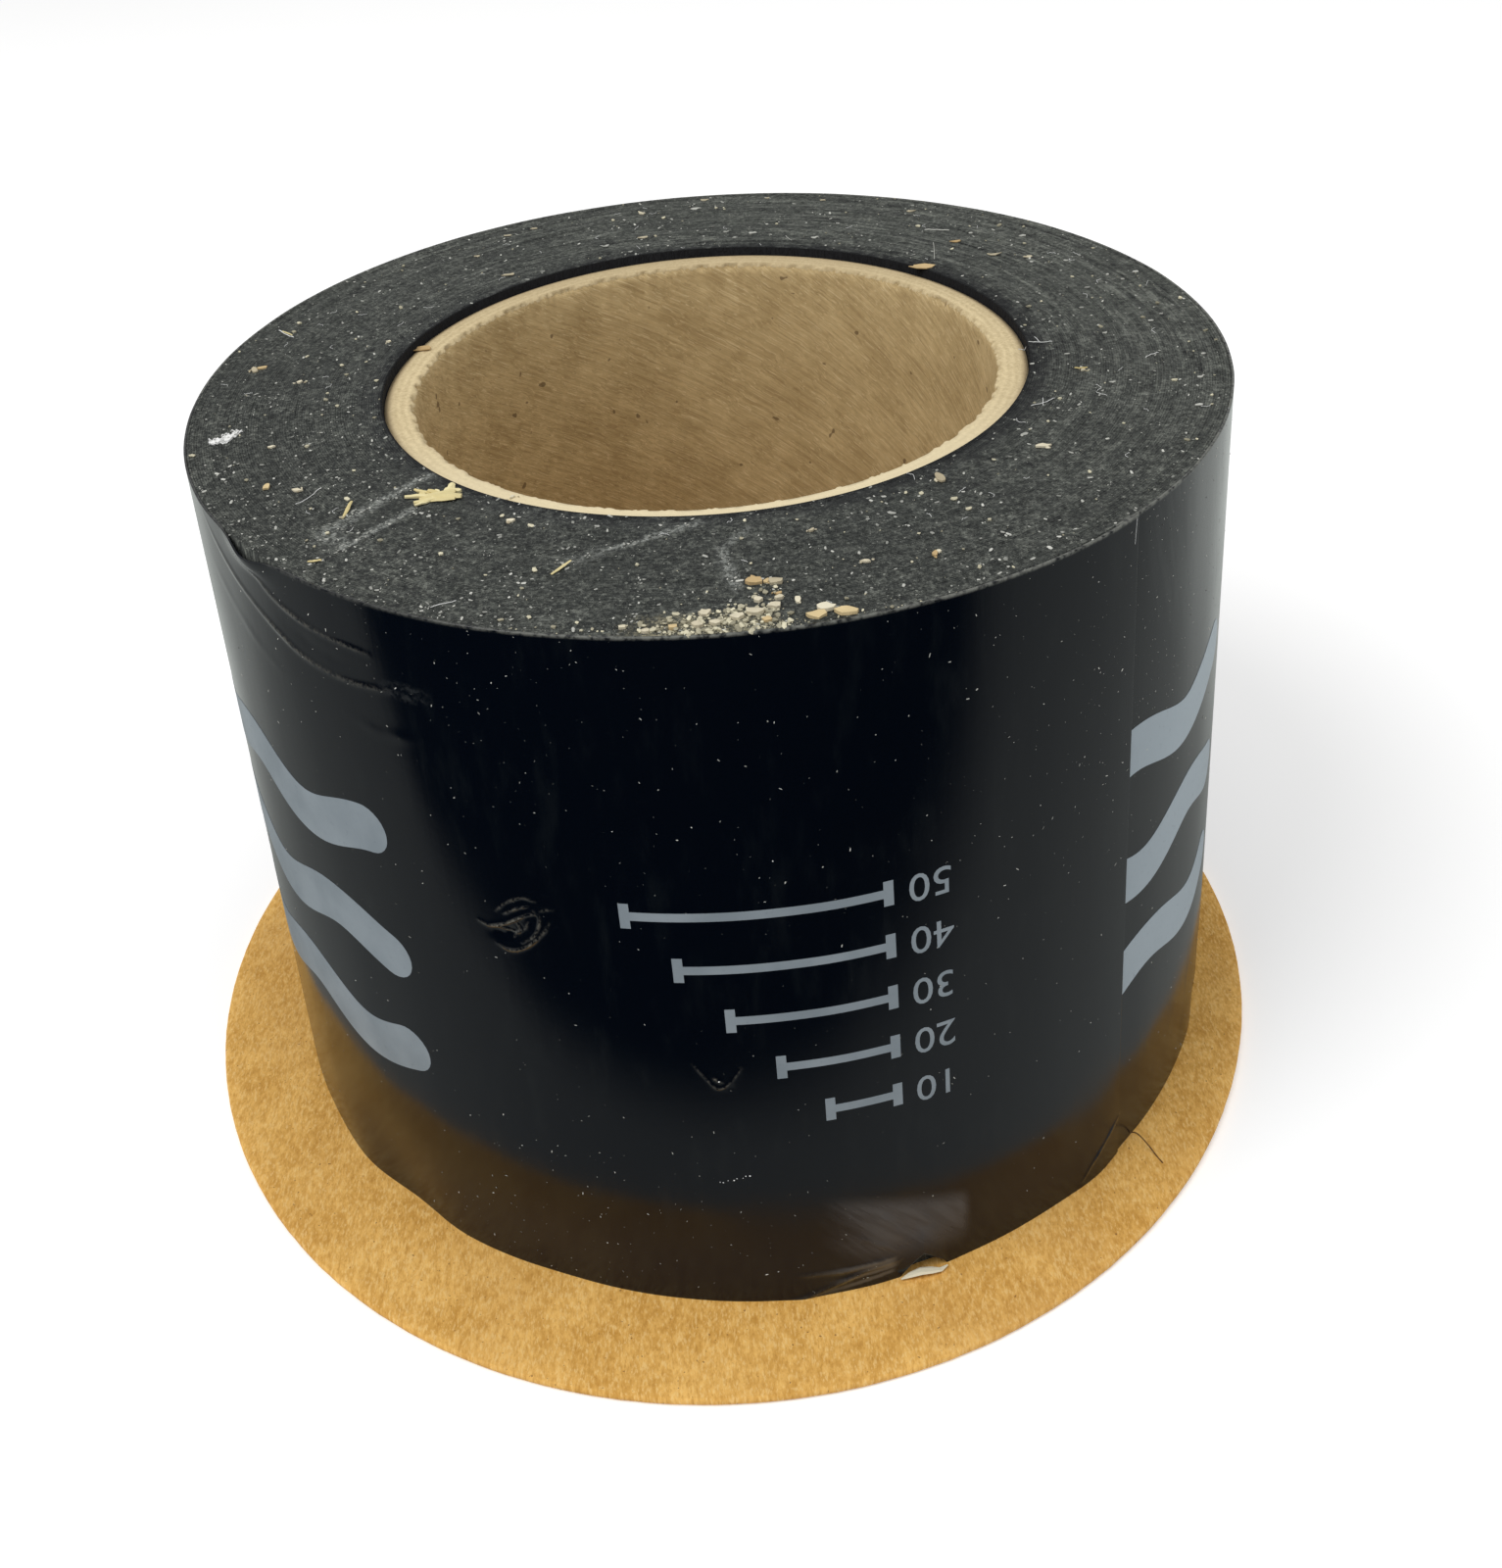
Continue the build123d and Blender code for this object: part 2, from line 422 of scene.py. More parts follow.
def floorMaterial():
    material, wire, place = newMaterial("paleFloor")
    x, y = place.parts()[:2]
    rays = wire.add("ShaderNodeLightPath")
    paleness = place.noise(0.004, 2.0).pick((0.985, 0.985, 0.98), (1.0, 1.0, 1.0))
    plain = wire.add("ShaderNodeBsdfDiffuse", {}, {"Color": paleness})
    # the camera sees the floor white, with the roll's shadow on it
    glow = wire.add("ShaderNodeEmission", {}, {"Color": (1, 1, 1, 1), "Strength": floorLook["glow"]})
    seen = wire.add("ShaderNodeAddShader", {}, {0: plain, 1: glow})
    plainOrSeen = wire.add("ShaderNodeMixShader", {}, {0: rays.out("Is Camera Ray"), 1: plain, 2: seen})
    # the gloss of the film meets a duller bench, which ends in a dark field in front of the roll
    right = x.maths("MAXIMUM", 0.0)
    edge = floorLook["darkEdge"] - x * 0.11 - right * right * 0.0012
    soft = 9.0 + (x + 10.0).maths("MAXIMUM", 0.0) * 0.16
    lit = ((y - edge) / soft).ease(-1.0, 1.0)
    field = (y + 420.0).ease(0.0, 120.0)
    level = floorLook["bench"] + x.ease(-40.0, 60.0) * 0.16 + y.ease(-10.0, 90.0) * 0.30
    bench = (1 - (1 - lit) * field).pick(
        (0.013, 0.019, 0.026), wire.joined(level * 0.95, level * 1.00, level * 0.96))
    mirrored = wire.add("ShaderNodeBsdfDiffuse", {}, {"Color": bench})
    closeMaterial(wire, wire.add("ShaderNodeMixShader", {}, {
        0: rays.out("Is Glossy Ray"), 1: plainOrSeen, 2: mirrored}))
    return material


core = {
    "columns": 720, "bore": 38.1, "toothDepth": 0.60, "bevel": 0.6,
    "lean": -0.08,           # millimetres that the front of the upper end lies above its back
    "plies": 6.5,            # radians from ply to ply, in a millimetre of wall
}

materials = {
    "film": filmMaterial(),
    "turns": turnMaterial(),
    "bore": boreMaterial(),
    "kraft": kraftMaterial(),
    "ink": inkMaterial(),
    "dust": grainMaterial("dustPale", (0.15, 0.155, 0.14), (0.70, 0.70, 0.64)),
    "heap": grainMaterial("dustCream", (0.20, 0.185, 0.13), (0.80, 0.75, 0.55)),
    "cream": grainMaterial("chipCream", (0.36, 0.30, 0.19), (0.84, 0.78, 0.60)),
    "wood": grainMaterial("chipWood", (0.42, 0.26, 0.11), (0.76, 0.62, 0.35)),
    "straw": grainMaterial("chipStraw", (0.50, 0.38, 0.13), (0.90, 0.82, 0.50)),
    "lint": grainMaterial("lintWhite", (0.62, 0.63, 0.62), (0.92, 0.92, 0.90)),
    "hair": grainMaterial("hairBrown", (0.10, 0.05, 0.02), (0.20, 0.10, 0.04)),
}
print("materials made")


# Meshes from arrays

def ease(low, high, value):
    share = np.clip((value - low) / (high - low), 0, 1)
    return share * share * (3 - 2 * share)


def hump(value, centre, width):
    return np.exp(-((value - centre) / width) ** 2)


def wrapped(angle):
    # degrees from -180 to 180
    return (angle + 180) % 360 - 180


def spread(low, high, spacing):
    # places from low to high that stand as far apart as spacing(place) says
    steps = np.linspace(low, high, 4000)
    count = np.concatenate([[0], np.cumsum(np.diff(steps) / spacing((steps[1:] + steps[:-1]) / 2))])
    total = int(math.ceil(count[-1]))
    return np.interp(np.linspace(0, count[-1], total + 1), count, steps)


def ringAngles(columns):
    return np.linspace(0, 2 * np.pi, columns, endpoint=False)


def ringNoise(theta, scale, seed):
    return np.array([noise.noise(Vector((math.cos(t) * scale, math.sin(t) * scale, seed))) for t in theta])


def ringPoints(loops, theta, centre=(0, 0)):
    # points of rings round the centre, each with its radius and height
    x, y = centre
    across, along, level = np.cos(theta), np.sin(theta), 0 * theta
    return np.concatenate([np.stack([x + radius * across, y + radius * along, up + level], -1)
                           for radius, up in loops])


def gridFaces(rows, columns, wrap, start=0, flip=False):
    # quads of a grid of rows by columns; wrap closes it along the columns
    row = np.arange(rows - 1)[:, None]
    column = np.arange(columns if wrap else columns - 1)[None, :]
    beside = (column + 1) % columns
    corners = [row * columns + column, row * columns + beside,
               (row + 1) * columns + beside, (row + 1) * columns + column]
    quads = np.stack([corner + start for corner in corners], -1).reshape(-1, 4)
    return quads[:, ::-1] if flip else quads


def closedFaces(rows, columns):
    # quads of rings that close on themselves both ways, as on a doughnut
    return gridFaces(rows + 1, columns, True) % (rows * columns)


def meshPiece(name, points, faces, material, smooth=True):
    # points are in millimetres
    mesh = bpy.data.meshes.new(name)
    mesh.from_pydata((np.asarray(points) * mm).tolist(), [], [list(map(int, face)) for face in faces])
    mesh.materials.append(material)
    mesh.polygons.foreach_set("use_smooth", [smooth] * len(mesh.polygons))
    mesh.update()
    piece = bpy.data.objects.new(name, mesh)
    bpy.context.collection.objects.link(piece)
    return piece


def store(piece, name, values):
    attribute = piece.data.attributes.new(name, "FLOAT", "POINT")
    attribute.data.foreach_set("value", np.asarray(values, np.float32))


def emptied(bm):
    # points and faces of the bmesh, which is freed
    bm.verts.index_update()
    points = np.array([vertex.co[:] for vertex in bm.verts])
    faces = [[vertex.index for vertex in face.verts] for face in bm.faces]
    bm.free()
    return points, faces


def distanceToLine(along, up, line):
    # distance of each point to an open line of corners, and how far along the line it lies, from 0 to 1
    nearest = np.full(np.shape(along), np.inf)
    share = np.zeros(np.shape(along))
    corners = np.asarray(line, float)
    lengths = np.concatenate([[0], np.cumsum(np.hypot(*(corners[1:] - corners[:-1]).T))])
    for index, start in enumerate(corners[:-1]):
        run = corners[index + 1] - start
        length = math.hypot(*run)
        part = np.clip(((along - start[0]) * run[0] + (up - start[1]) * run[1]) / length ** 2, 0, 1)
        away = np.hypot(along - start[0] - part * run[0], up - start[1] - part * run[1])
        closer = away < nearest
        nearest = np.where(closer, away, nearest)
        share = np.where(closer, (lengths[index] + part * length) / lengths[-1], share)
    return nearest, share


def smoothLine(corners, perSpan=6):
    # Catmull-Rom line through the corners
    ends = [corners[0], *corners, corners[-1]]
    line = []
    for index in range(1, len(ends) - 2):
        before, first, second, after = (np.asarray(ends[index + step], float) for step in (-1, 0, 1, 2))
        for step in range(perSpan):
            t = step / perSpan
            line.append(0.5 * ((2 * first) + (second - before) * t
                               + (2 * before - 5 * first + 4 * second - after) * t ** 2
                               + (3 * first - before - 3 * second + after) * t ** 3))
    line.append(np.asarray(corners[-1], float))
    return line


# The film's outer face: places on it are degrees round the roll and millimetres above its foot

film = {
    "outOfRound": 0.12,
    "ripple": 0.030,
    "footWave": 0.20,
    "overlap": 3.0,           # degrees that the sheet runs on under its own free end
    "endPress": 0.10, "pressReach": 3.0,      # the free end is pressed in, over so many millimetres
    # folds and dents: corners in degrees and millimetres up, height and half width in millimetres,
    # and how far the crest is scuffed pale, partly as a painted glint
    "folds": [
        ([(-146.0, 94.8), (-144.9, 94.2), (-140.5, 92.6), (-137.6, 90.9), (-133.7, 89.7), (-130.2, 89.1),
          (-126.8, 88.9), (-124.2, 88.7)], 0.11, 0.40, 0.22),
        ([(-152.5, 94.4), (-149.7, 92.2), (-145.7, 89.8), (-141.8, 88.0), (-137.5, 86.2), (-133.8, 84.8),
          (-130.2, 84.2), (-126.5, 84.2), (-122.5, 84.7)], 0.12, 0.44, 0.22),
        ([(-153.5, 88.4), (-149.2, 85.8), (-146.1, 83.9), (-142.2, 81.8), (-138.5, 80.4)], 0.04, 0.8, 0.0),
        ([(-128.5, 79.3), (-126.0, 78.8), (-123.8, 78.6), (-118.5, 79.6)], 0.05, 0.8, 0.0),
        ([(-136.5, 88.2), (-131.0, 86.8), (-126.5, 86.5)], -0.05, 0.9, 0.0),
        # crumple where something has caught the film
        ([(-116.3, 55.9), (-115.2, 55.6), (-113.6, 56.3), (-112.0, 57.5), (-110.9, 58.3), (-110.1, 58.6)],
         0.26, 0.20, 0.50),
        ([(-110.3, 59.0), (-109.7, 58.2), (-109.9, 56.8), (-110.6, 55.3), (-111.8, 54.1)], 0.24, 0.20, 0.30),
        ([(-114.6, 53.2), (-113.4, 52.7), (-112.0, 53.2), (-110.6, 54.6), (-109.3, 56.4), (-108.8, 57.6)],
         0.25, 0.22, 0.35),
        ([(-114.2, 58.0), (-112.9, 59.6), (-111.2, 60.6), (-109.9, 60.3)], 0.12, 0.18, 0.25),
        ([(-113.4, 57.8), (-112.0, 58.9), (-110.6, 59.6)], 0.16, 0.16, 0.35),
        ([(-114.2, 56.0), (-112.6, 55.4), (-111.4, 56.2), (-110.9, 57.3)], 0.18, 0.17, 0.30),
        ([(-112.7, 54.6), (-112.0, 56.0), (-112.3, 57.0)], 0.14, 0.15, 0.30),
        ([(-114.9, 54.6), (-113.0, 55.3), (-111.7, 56.9)], -0.24, 0.6, 0.0),
        ([(-109.6, 59.0), (-108.9, 59.4), (-108.2, 59.5)], 0.05, 0.20, 0.20),
        # small arc beside the gauge
        ([(-96.4, 38.9), (-95.2, 36.6), (-94.1, 34.9), (-92.8, 35.8), (-91.6, 38.0)], 0.08, 0.14, 0.25),
        ([(-94.4, 36.5), (-93.6, 35.8)], 0.08, 0.22, 0.60),
        # by the free end
        ([(-46.9, 6.6), (-48.6, 5.6), (-51.8, 3.2), (-53.5, 1.2)], 0.16, 0.30, 0.10),
        # pulls that run out from the nick in the foot
        ([(-90.0, -0.6), (-87.4, 0.0), (-84.6, 1.2), (-82.0, 2.3), (-79.5, 3.0), (-76.9, 3.1)],
         0.20, 0.42, 0.08),
        ([(-87.5, 3.9), (-85.8, 3.8), (-83.0, 3.5), (-79.5, 3.7), (-76.8, 3.9)], 0.15, 0.40, 0.08),
        ([(-75.2, 4.4), (-76.8, 7.6), (-78.6, 11.5)], 0.06, 0.5, 0.0),
        ([(-76.0, 3.9), (-78.4, 6.0), (-81.2, 8.6)], 0.06, 0.45, 0.0),
        ([(-72.6, 3.8), (-73.4, 7.4), (-74.8, 11.0)], 0.06, 0.5, 0.0),
    ],
    # lines along which the mesh is finer without a fold, with the same last three values
    "fineLines": [([(-78.0, 0.3), (-70.5, 0.3)], 0.0, 0.6, 0.0),
                  ([(-74.8, 2.2), (-73.2, 2.2)], 0.0, 0.4, 0.0)],
    # where the foot of the film stands out or in: degrees, millimetres and half width in degrees
    "footBulges": [(-143, 0.35, 5), (-133, -0.55, 5), (-113, -0.45, 7), (-89, 0.45, 7), (-76, -0.3, 3),
                   (-51, 0.45, 4), (-20, -0.5, 4)],
    "bruise": {"angle": -141.2, "halfWidth": 3.3, "lift": 0.75, "drop": 0.9, "reach": 3.6},
    "nick": {"angle": -74.3, "rise": 2.5, "fall": 2.7, "lift": 3.3, "out": 0.35, "swell": 0.45,
             "reach": 9.0},
}

ripples = random.Random(7)
rippleTable = [(count, ripples.uniform(0, 2 * math.pi), ripples.uniform(-0.05, 0.05), 1 / (1 + 0.08 * count))
               for count in (5, 9, 14, 19, 26, 34, 47)]
footTable = [(count, ripples.uniform(0, 2 * math.pi), 1 / (1 + 0.12 * count))
             for count in (4, 7, 11, 17, 24)]


def tailAt(height):
    return roll["tailAngle"] + roll["tailLean"] * height / roll["width"]


def foldLine(corners):
    return [(place * degree, up) for place, up in smoothLine(corners)]


def foldLift(angle, height):
    # how far the folds stand out, or dents in, at each place, and how far their crests are scuffed pale and
    # painted with a glint there
    lift, scuffAndGlint = np.zeros(np.shape(angle)), np.zeros(np.shape(angle))
    around = angle * degree
    for corners, tall, halfWidth, scuffAndGlintLevel in film["folds"]:
        line = foldLine(corners)
        low = np.min(line, 0) - 5 * halfWidth
        high = np.max(line, 0) + 5 * halfWidth
        near = (around > low[0]) & (around < high[0]) & (height > low[1]) & (height < high[1])
        away, share = distanceToLine(around[near], height[near], line)
        strength = np.sin(np.pi * np.clip(share, 0.02, 0.98)) ** 0.5
        strength = strength * (0.8 + 0.2 * np.sin(17 * share + corners[0][0]))
        lift[near] += tall * strength * (hump(away, 0, halfWidth) + 0.12 * hump(away, 0, 2.4 * halfWidth))
        scuffAndGlint[near] = np.maximum(scuffAndGlint[near], scuffAndGlintLevel * strength * hump(away, 0, 0.7 * halfWidth))
    return lift, scuffAndGlint


def filmShape(angle, height, turned):
    # radius and height of the film's outer face; turned is degrees on from the free end, up to 360
    radius = roll["radius"] - roll["thickness"] * (1 - turned / 360)
    theta = np.radians(angle)
    radius = radius + film["outOfRound"] * np.cos(2 * theta + 0.6) + 0.05 * np.cos(3 * theta)
    for count, phase, lean, share in rippleTable:
        radius = radius + film["ripple"] * share * np.cos(count * theta + phase + lean * height)
    foot = 1 - ease(0, 16, height)
    for count, phase, share in footTable:
        radius = radius + film["footWave"] * 0.3 * share * foot * np.cos(count * theta + phase)
    for centre, out, wide in film["footBulges"]:
        radius = radius + out * foot * hump(angle, centre, wide)
    radius = radius + foldLift(angle, height)[0]
    bruise, nick = film["bruise"], film["nick"]
    lifted = hump(angle, bruise["angle"], bruise["halfWidth"])
    lifted = lifted * ease(roll["width"] - bruise["reach"], roll["width"], height)
    side = np.where(angle < nick["angle"], nick["rise"], nick["fall"])
    arch = np.clip(1 - np.abs(angle - nick["angle"]) / side, 0, 1) ** 0.8
    opened = arch * (1 - ease(0, nick["reach"], height))
    swollen = hump(angle, nick["angle"] - 1.5, 5.5) * (1 - ease(0, 15, height))
    radius = radius + bruise["lift"] * lifted + nick["out"] * opened + nick["swell"] * swollen
    # the free end is pressed down flat
    radius = radius - film["endPress"] * np.exp(-np.clip(360 - turned, 0, 90) * degree / film["pressReach"])
    height = height - bruise["drop"] * lifted + nick["lift"] * opened
    return radius, height


def onFilm(angle, height, turned, out=0.0):
    radius, up = filmShape(angle, height, turned)
    reach, theta = radius + out, np.radians(angle)
    return np.stack([reach * np.cos(theta), reach * np.sin(theta), up + roll["bottom"]], -1)


# how far apart the rows of the film's mesh stand: from, to and gap
fineRows = [(roll["width"] - 17, roll["width"] - 0.3, 0.95), (50.5, 61.5, 0.95), (34, 39.5, 0.95),
            (0.3, 14, 0.95), (0, 0.3, 0.15), (roll["width"] - 0.3, roll["width"], 0.15)]


def columnSpacing(turned):
    angle = wrapped(turned + roll["tailAngle"])
    usual = np.where((angle > -162) & (angle < -12), 0.9, 2.0)
    nearEnd = np.minimum(turned, 360 - turned) * degree
    usual = np.where(nearEnd < 2.5, 0.25, usual)
    return np.where(nearEnd < 0.12, 0.04, usual) / degree


def rowSpacing(height):
    gaps = 1.5 + 0 * height
    for low, high, gap in fineRows:
        gaps = np.where((height >= low) & (height <= high), gap, gaps)
    return gaps


def refineNearFolds(bm, spacing, reach):
    # halves the edges of the outer layer that lie within reach half widths of a narrow fold
    edges = [edge for edge in bm.edges if edge.verts[0].co.z == 0 and edge.verts[1].co.z == 0]
    ends = np.array([[vertex.co[:2] for vertex in edge.verts] for edge in edges])
    ends[:, :, 0] = wrapped(tailAt(ends[:, :, 1]) + ends[:, :, 0]) * degree
    middle = ends.mean(1)
    long = np.hypot(*(ends[:, 1] - ends[:, 0]).T) > 1.2 * spacing
    near = np.zeros(len(edges), bool)
    for fold in film["folds"] + film["fineLines"]:
        corners, halfWidth = fold[0], fold[2]
        if halfWidth < 4.4 * spacing:
            near |= distanceToLine(middle[:, 0], middle[:, 1], foldLine(corners))[0] < reach * halfWidth
    chosen = [edge for edge, wanted in zip(edges, near & long) if wanted]
    bmesh.ops.subdivide_edges(bm, edges=chosen, cuts=1, use_grid_fill=True)


def outerTurn():
    # closed sheet one tape thick that goes once round and tucks in under its own free end; it is first
    # laid out flat, with x in degrees on from the free end, y in millimetres up and z outwards
    turned = np.concatenate([[-film["overlap"]], spread(0, 360, columnSpacing)])
    heights = spread(0, roll["width"], rowSpacing)
    rows, columns = len(heights), len(turned)
    on, up = np.meshgrid(turned, heights)
    layers = [np.stack([on, up, 0 * on + out], -1).reshape(-1, 3)
              for out in (0.0, -0.92 * roll["thickness"])]
    indices = np.arange(rows * columns).reshape(rows, columns)
    rim = np.concatenate([indices[0], indices[1:, -1], indices[-1, -2::-1], indices[-2:0:-1, 0]])
    after = np.roll(rim, -1)
    below = rows * columns
    faces = np.concatenate([gridFaces(rows, columns, False),
                            gridFaces(rows, columns, False, below, flip=True),
                            np.stack([after, rim, rim + below, after + below], -1)])
    mesh = bpy.data.meshes.new("flatSheet")
    mesh.from_pydata(np.concatenate(layers).tolist(), [], faces.tolist())
    bm = bmesh.new()
    bm.from_mesh(mesh)
    bpy.data.meshes.remove(mesh)
    for spacing, reach in ((0.45, 5.0), (0.225, 3.5), (0.1125, 2.5)):
        refineNearFolds(bm, spacing, reach)
    flat, faces = emptied(bm)
    on, up, out = flat.T
    angle = wrapped(tailAt(up) + on)
    tucked = 0.3 * roll["thickness"] * (on < 0)
    placed = onFilm(angle, up, np.clip(on, 0, 360), out - tucked)
    piece = meshPiece("outer_turn", placed, faces, materials["film"])
    store(piece, "scuffAndGlint", foldLift(angle, up)[1])
    return piece


turnEdges = {
    "ribShare": 0.88, "ribDepth": 0.30, "unevenness": 0.11,
    "footInset": 0.8,        # how far the inner turns stand back at the foot, where the film waves
    "pointsPerTurn": {"turn_edges_top": 200, "turn_edges_foot": 72},
    "seam": 0.10,            # the body of the turns lies this far under their edges
}


def endLevel(radius, theta):
    # how far the turns stand below the end face: soft groups of turns, with a slow roll
    share = (radius - roll["hole"]) / (roll["radius"] - roll["hole"])
    level = 0.045 * (1 + np.sin(34 * share)) + 0.03 * (1 + np.sin(2 * theta + 3 * share))
    level = level + 0.03 * (1 + np.cos(5 * theta - 7 * share))
    return level * ease(0.0, 0.08, 1 - share)


def windings():
    # closed ring of all inner turns; their cut edges stand on its ends as a spiral
    theta = ringAngles(256)
    outside = roll["radius"] - 1.35 * roll["thickness"]
    footOutside = outside - turnEdges["footInset"]
    top, bottom = roll["top"] - turnEdges["seam"], roll["bottom"] + turnEdges["seam"]
    loops = [(radius, top - endLevel(radius, theta)) for radius in np.linspace(roll["hole"], outside, 70)]
    loops += [(outside - turnEdges["footInset"] * (1 - ease(0, 18, up)), roll["bottom"] + up)
              for up in (92, 65, 40, 18, 12, 8, 4, 1)]
    loops += [(radius, bottom + endLevel(radius, theta))
              for radius in np.linspace(footOutside, roll["hole"], 35)]
    loops += [(roll["hole"], up) for up in np.linspace(roll["bottom"] + 4, roll["top"] - 4, 5)]
    faces = closedFaces(len(loops), len(theta))
    return meshPiece("windings", ringPoints(loops, theta), faces[:, ::-1], materials["turns"])


outerTurnPiece = outerTurn()
windingsPiece = windings()
print("film and windings made")


# Geometry Nodes: trees, and meshes baked from them

def newTree(name, inputs, geometryIn=False):
    tree = bpy.data.node_groups.new(name, "GeometryNodeTree")
    if geometryIn:
        tree.interface.new_socket("Geometry", in_out="INPUT", socket_type="NodeSocketGeometry")
    for label, kind in inputs.items():
        tree.interface.new_socket(label, in_out="INPUT", socket_type="NodeSocket" + kind)
    tree.interface.new_socket("Geometry", in_out="OUTPUT", socket_type="NodeSocketGeometry")
    wire = Wire(tree)
    start = wire.add("NodeGroupInput")
    return tree, wire, {socket.name: Wire(tree, socket) for socket in start.socket.node.outputs}


def closeTree(wire, geometry, material):
    real = wire.add("GeometryNodeRealizeInstances", {}, {"Geometry": geometry})
    named = wire.add("GeometryNodeSetMaterial", {}, {"Geometry": real, "Material": material})
    wire.add("NodeGroupOutput", {}, {"Geometry": named})


def bakedPiece(name, tree, values, source=None):
    # runs the tree on a copy of source, or on nothing, and keeps the result as a plain mesh
    mesh = source.data.copy() if source else bpy.data.meshes.new(name + "Start")
    carrier = bpy.data.objects.new(name + "Carrier", mesh)
    bpy.context.collection.objects.link(carrier)
    modifier = carrier.modifiers.new("nodes", "NODES")
    modifier.node_group = tree
    for item in tree.interface.items_tree:
        if item.in_out == "INPUT" and item.name in values:
            modifier[item.identifier] = values[item.name]
    bpy.context.view_layer.update()
    evaluated = carrier.evaluated_get(bpy.context.evaluated_depsgraph_get())
    result = bpy.data.meshes.new_from_object(evaluated)
    carrier.modifiers.remove(modifier)
    bpy.data.objects.remove(carrier)
    piece = bpy.data.objects.new(name, result)
    bpy.context.collection.objects.link(piece)
    return piece


def turnEdgesTree():
    # the cut edge of the whole tape, wound as one spiral of flat ribs
    tree, wire, given = newTree("windTurns", {
        "turns": "Float", "firstRadius": "Float", "lastRadius": "Float", "ribWidth": "Float",
        "ribDepth": "Float", "level": "Float", "upwards": "Float", "unevenness": "Float",
        "pointsPerTurn": "Int", "material": "Material"})
    spiral = wire.add("GeometryNodeCurveSpiral", {}, {
        "Resolution": given["pointsPerTurn"], "Rotations": given["turns"],
        "Start Radius": given["firstRadius"], "End Radius": given["lastRadius"], "Height": 0.0})
    x, y = wire.add("GeometryNodeInputPosition").parts()[:2]
    radius = (x * x + y * y) ** 0.5
    theta = y.maths("ARCTAN2", x)
    # the same groups of turns as in endLevel
    share = (radius - given["firstRadius"]) / (given["lastRadius"] - given["firstRadius"])
    sunk = 0.045 * (1 + (34 * share).maths("SINE")) + 0.03 * (1 + (2 * theta + 3 * share).maths("SINE"))
    sunk = sunk + 0.03 * (1 + (5 * theta - 7 * share).maths("COSINE"))
    sunk = sunk * (1 - share).ease(0.0, 0.08)
    ownTurn = wire.joined(radius * (1 / mm / roll["thickness"]), x * 14.0, y * 14.0).noise(1.0, 2.0)
    lumps = wire.joined(x, y, radius).noise(260.0, 2.0, 0.6)
    sunk = sunk * mm + (ownTurn + lumps * 1.4 - 0.9) * given["unevenness"]
    lift = given["level"] - given["upwards"] * (sunk + given["ribDepth"] * 0.5)
    placed = wire.add("GeometryNodeSetPosition", {}, {
        "Geometry": spiral, "Offset": wire.joined(0.0, 0.0, lift)})
    rib = wire.add("GeometryNodeCurvePrimitiveQuadrilateral", {"mode": "RECTANGLE"}, {
        "Width": given["ribDepth"], "Height": given["ribWidth"]})
    ribs = wire.add("GeometryNodeCurveToMesh", {}, {
        "Curve": placed, "Profile Curve": rib, "Fill Caps": True})
    closeTree(wire, ribs, given["material"])
    return tree


def makeTurnEdges():
    tree = turnEdgesTree()
    pieces = []
    for name, level, upwards, inset in (("turn_edges_top", roll["top"], 1.0, 0.0),
                                        ("turn_edges_foot", roll["bottom"], -1.0, turnEdges["footInset"])):
        first, last = roll["hole"] + 0.2, roll["radius"] - 1.4 * roll["thickness"] - inset
        pieces.append(bakedPiece(name, tree, {
            "turns": (last - first) / roll["thickness"], "firstRadius": first * mm, "lastRadius": last * mm,
            "ribWidth": roll["thickness"] * turnEdges["ribShare"] * mm,
            "ribDepth": turnEdges["ribDepth"] * mm, "unevenness": turnEdges["unevenness"] * mm,
            "level": level * mm, "upwards": upwards,
            "pointsPerTurn": turnEdges["pointsPerTurn"][name], "material": materials["turns"]}))
    return pieces


turnEdgePieces = makeTurnEdges()
print("turn edges wound")


# Core tube

def coreTube():
    theta = ringAngles(core["columns"])
    top = coreHigh[2] / mm + core["lean"] * (1 - np.sin(theta)) / 2
    foot = coreLow[2] / mm
    outside, inside = roll["coreRadius"], core["bore"]
    # the cut plies are ragged, and teeth of paper stand into the bore
    ragged = ringNoise(theta, 28, 0.3) * 0.6 + ringNoise(theta, 75, 2.1) * 0.5
    teeth = core["toothDepth"] * np.clip(0.4 + 1.6 * ragged, 0, 1)
    slow = ringNoise(theta, 2.0, 5.0)
    loops = []
    for radius in np.linspace(outside, inside + core["bevel"], 7)[1:]:
        plies = 0.05 * math.sin(radius * core["plies"]) + 0.06 * slow
        loops.append((radius, top - 0.06 + plies - 0.05 * np.abs(ragged)))
    loops.append((inside + 0.20 + 0.9 * teeth, top - 0.16 - 0.4 * teeth))
    loops.append((inside + 0.05 + 0.45 * teeth, top - 0.30 - teeth))
    for up in np.linspace(coreHigh[2] / mm - 1.6, foot + 2, 15):
        loops.append((inside + 0.035 * ringNoise(theta, 3, up * 0.05), up))
    loops += [(inside + 0.05, foot + 0.55), (inside + 0.55, foot + 0.05 + 0.04 * ragged),
              (outside - 0.1, foot + 0.05), (outside, foot + 0.2), (outside, top - 0.2)]
    faces = closedFaces(len(loops), len(theta))
    return meshPiece("core_tube", ringPoints(loops, theta), faces, materials["bore"])


corePiece = coreTube()


# Separator disc

disc = {
    "centre": ((discLow[0] + discHigh[0]) / 2 / mm, (discLow[1] + discHigh[1]) / 2 / mm),
    "radius": (discHigh[0] - discLow[0]) / 2 / mm,
    "thickness": (discHigh[2] - discLow[2]) / mm,
    "curl": 0.5,
    "columns": 300,
}


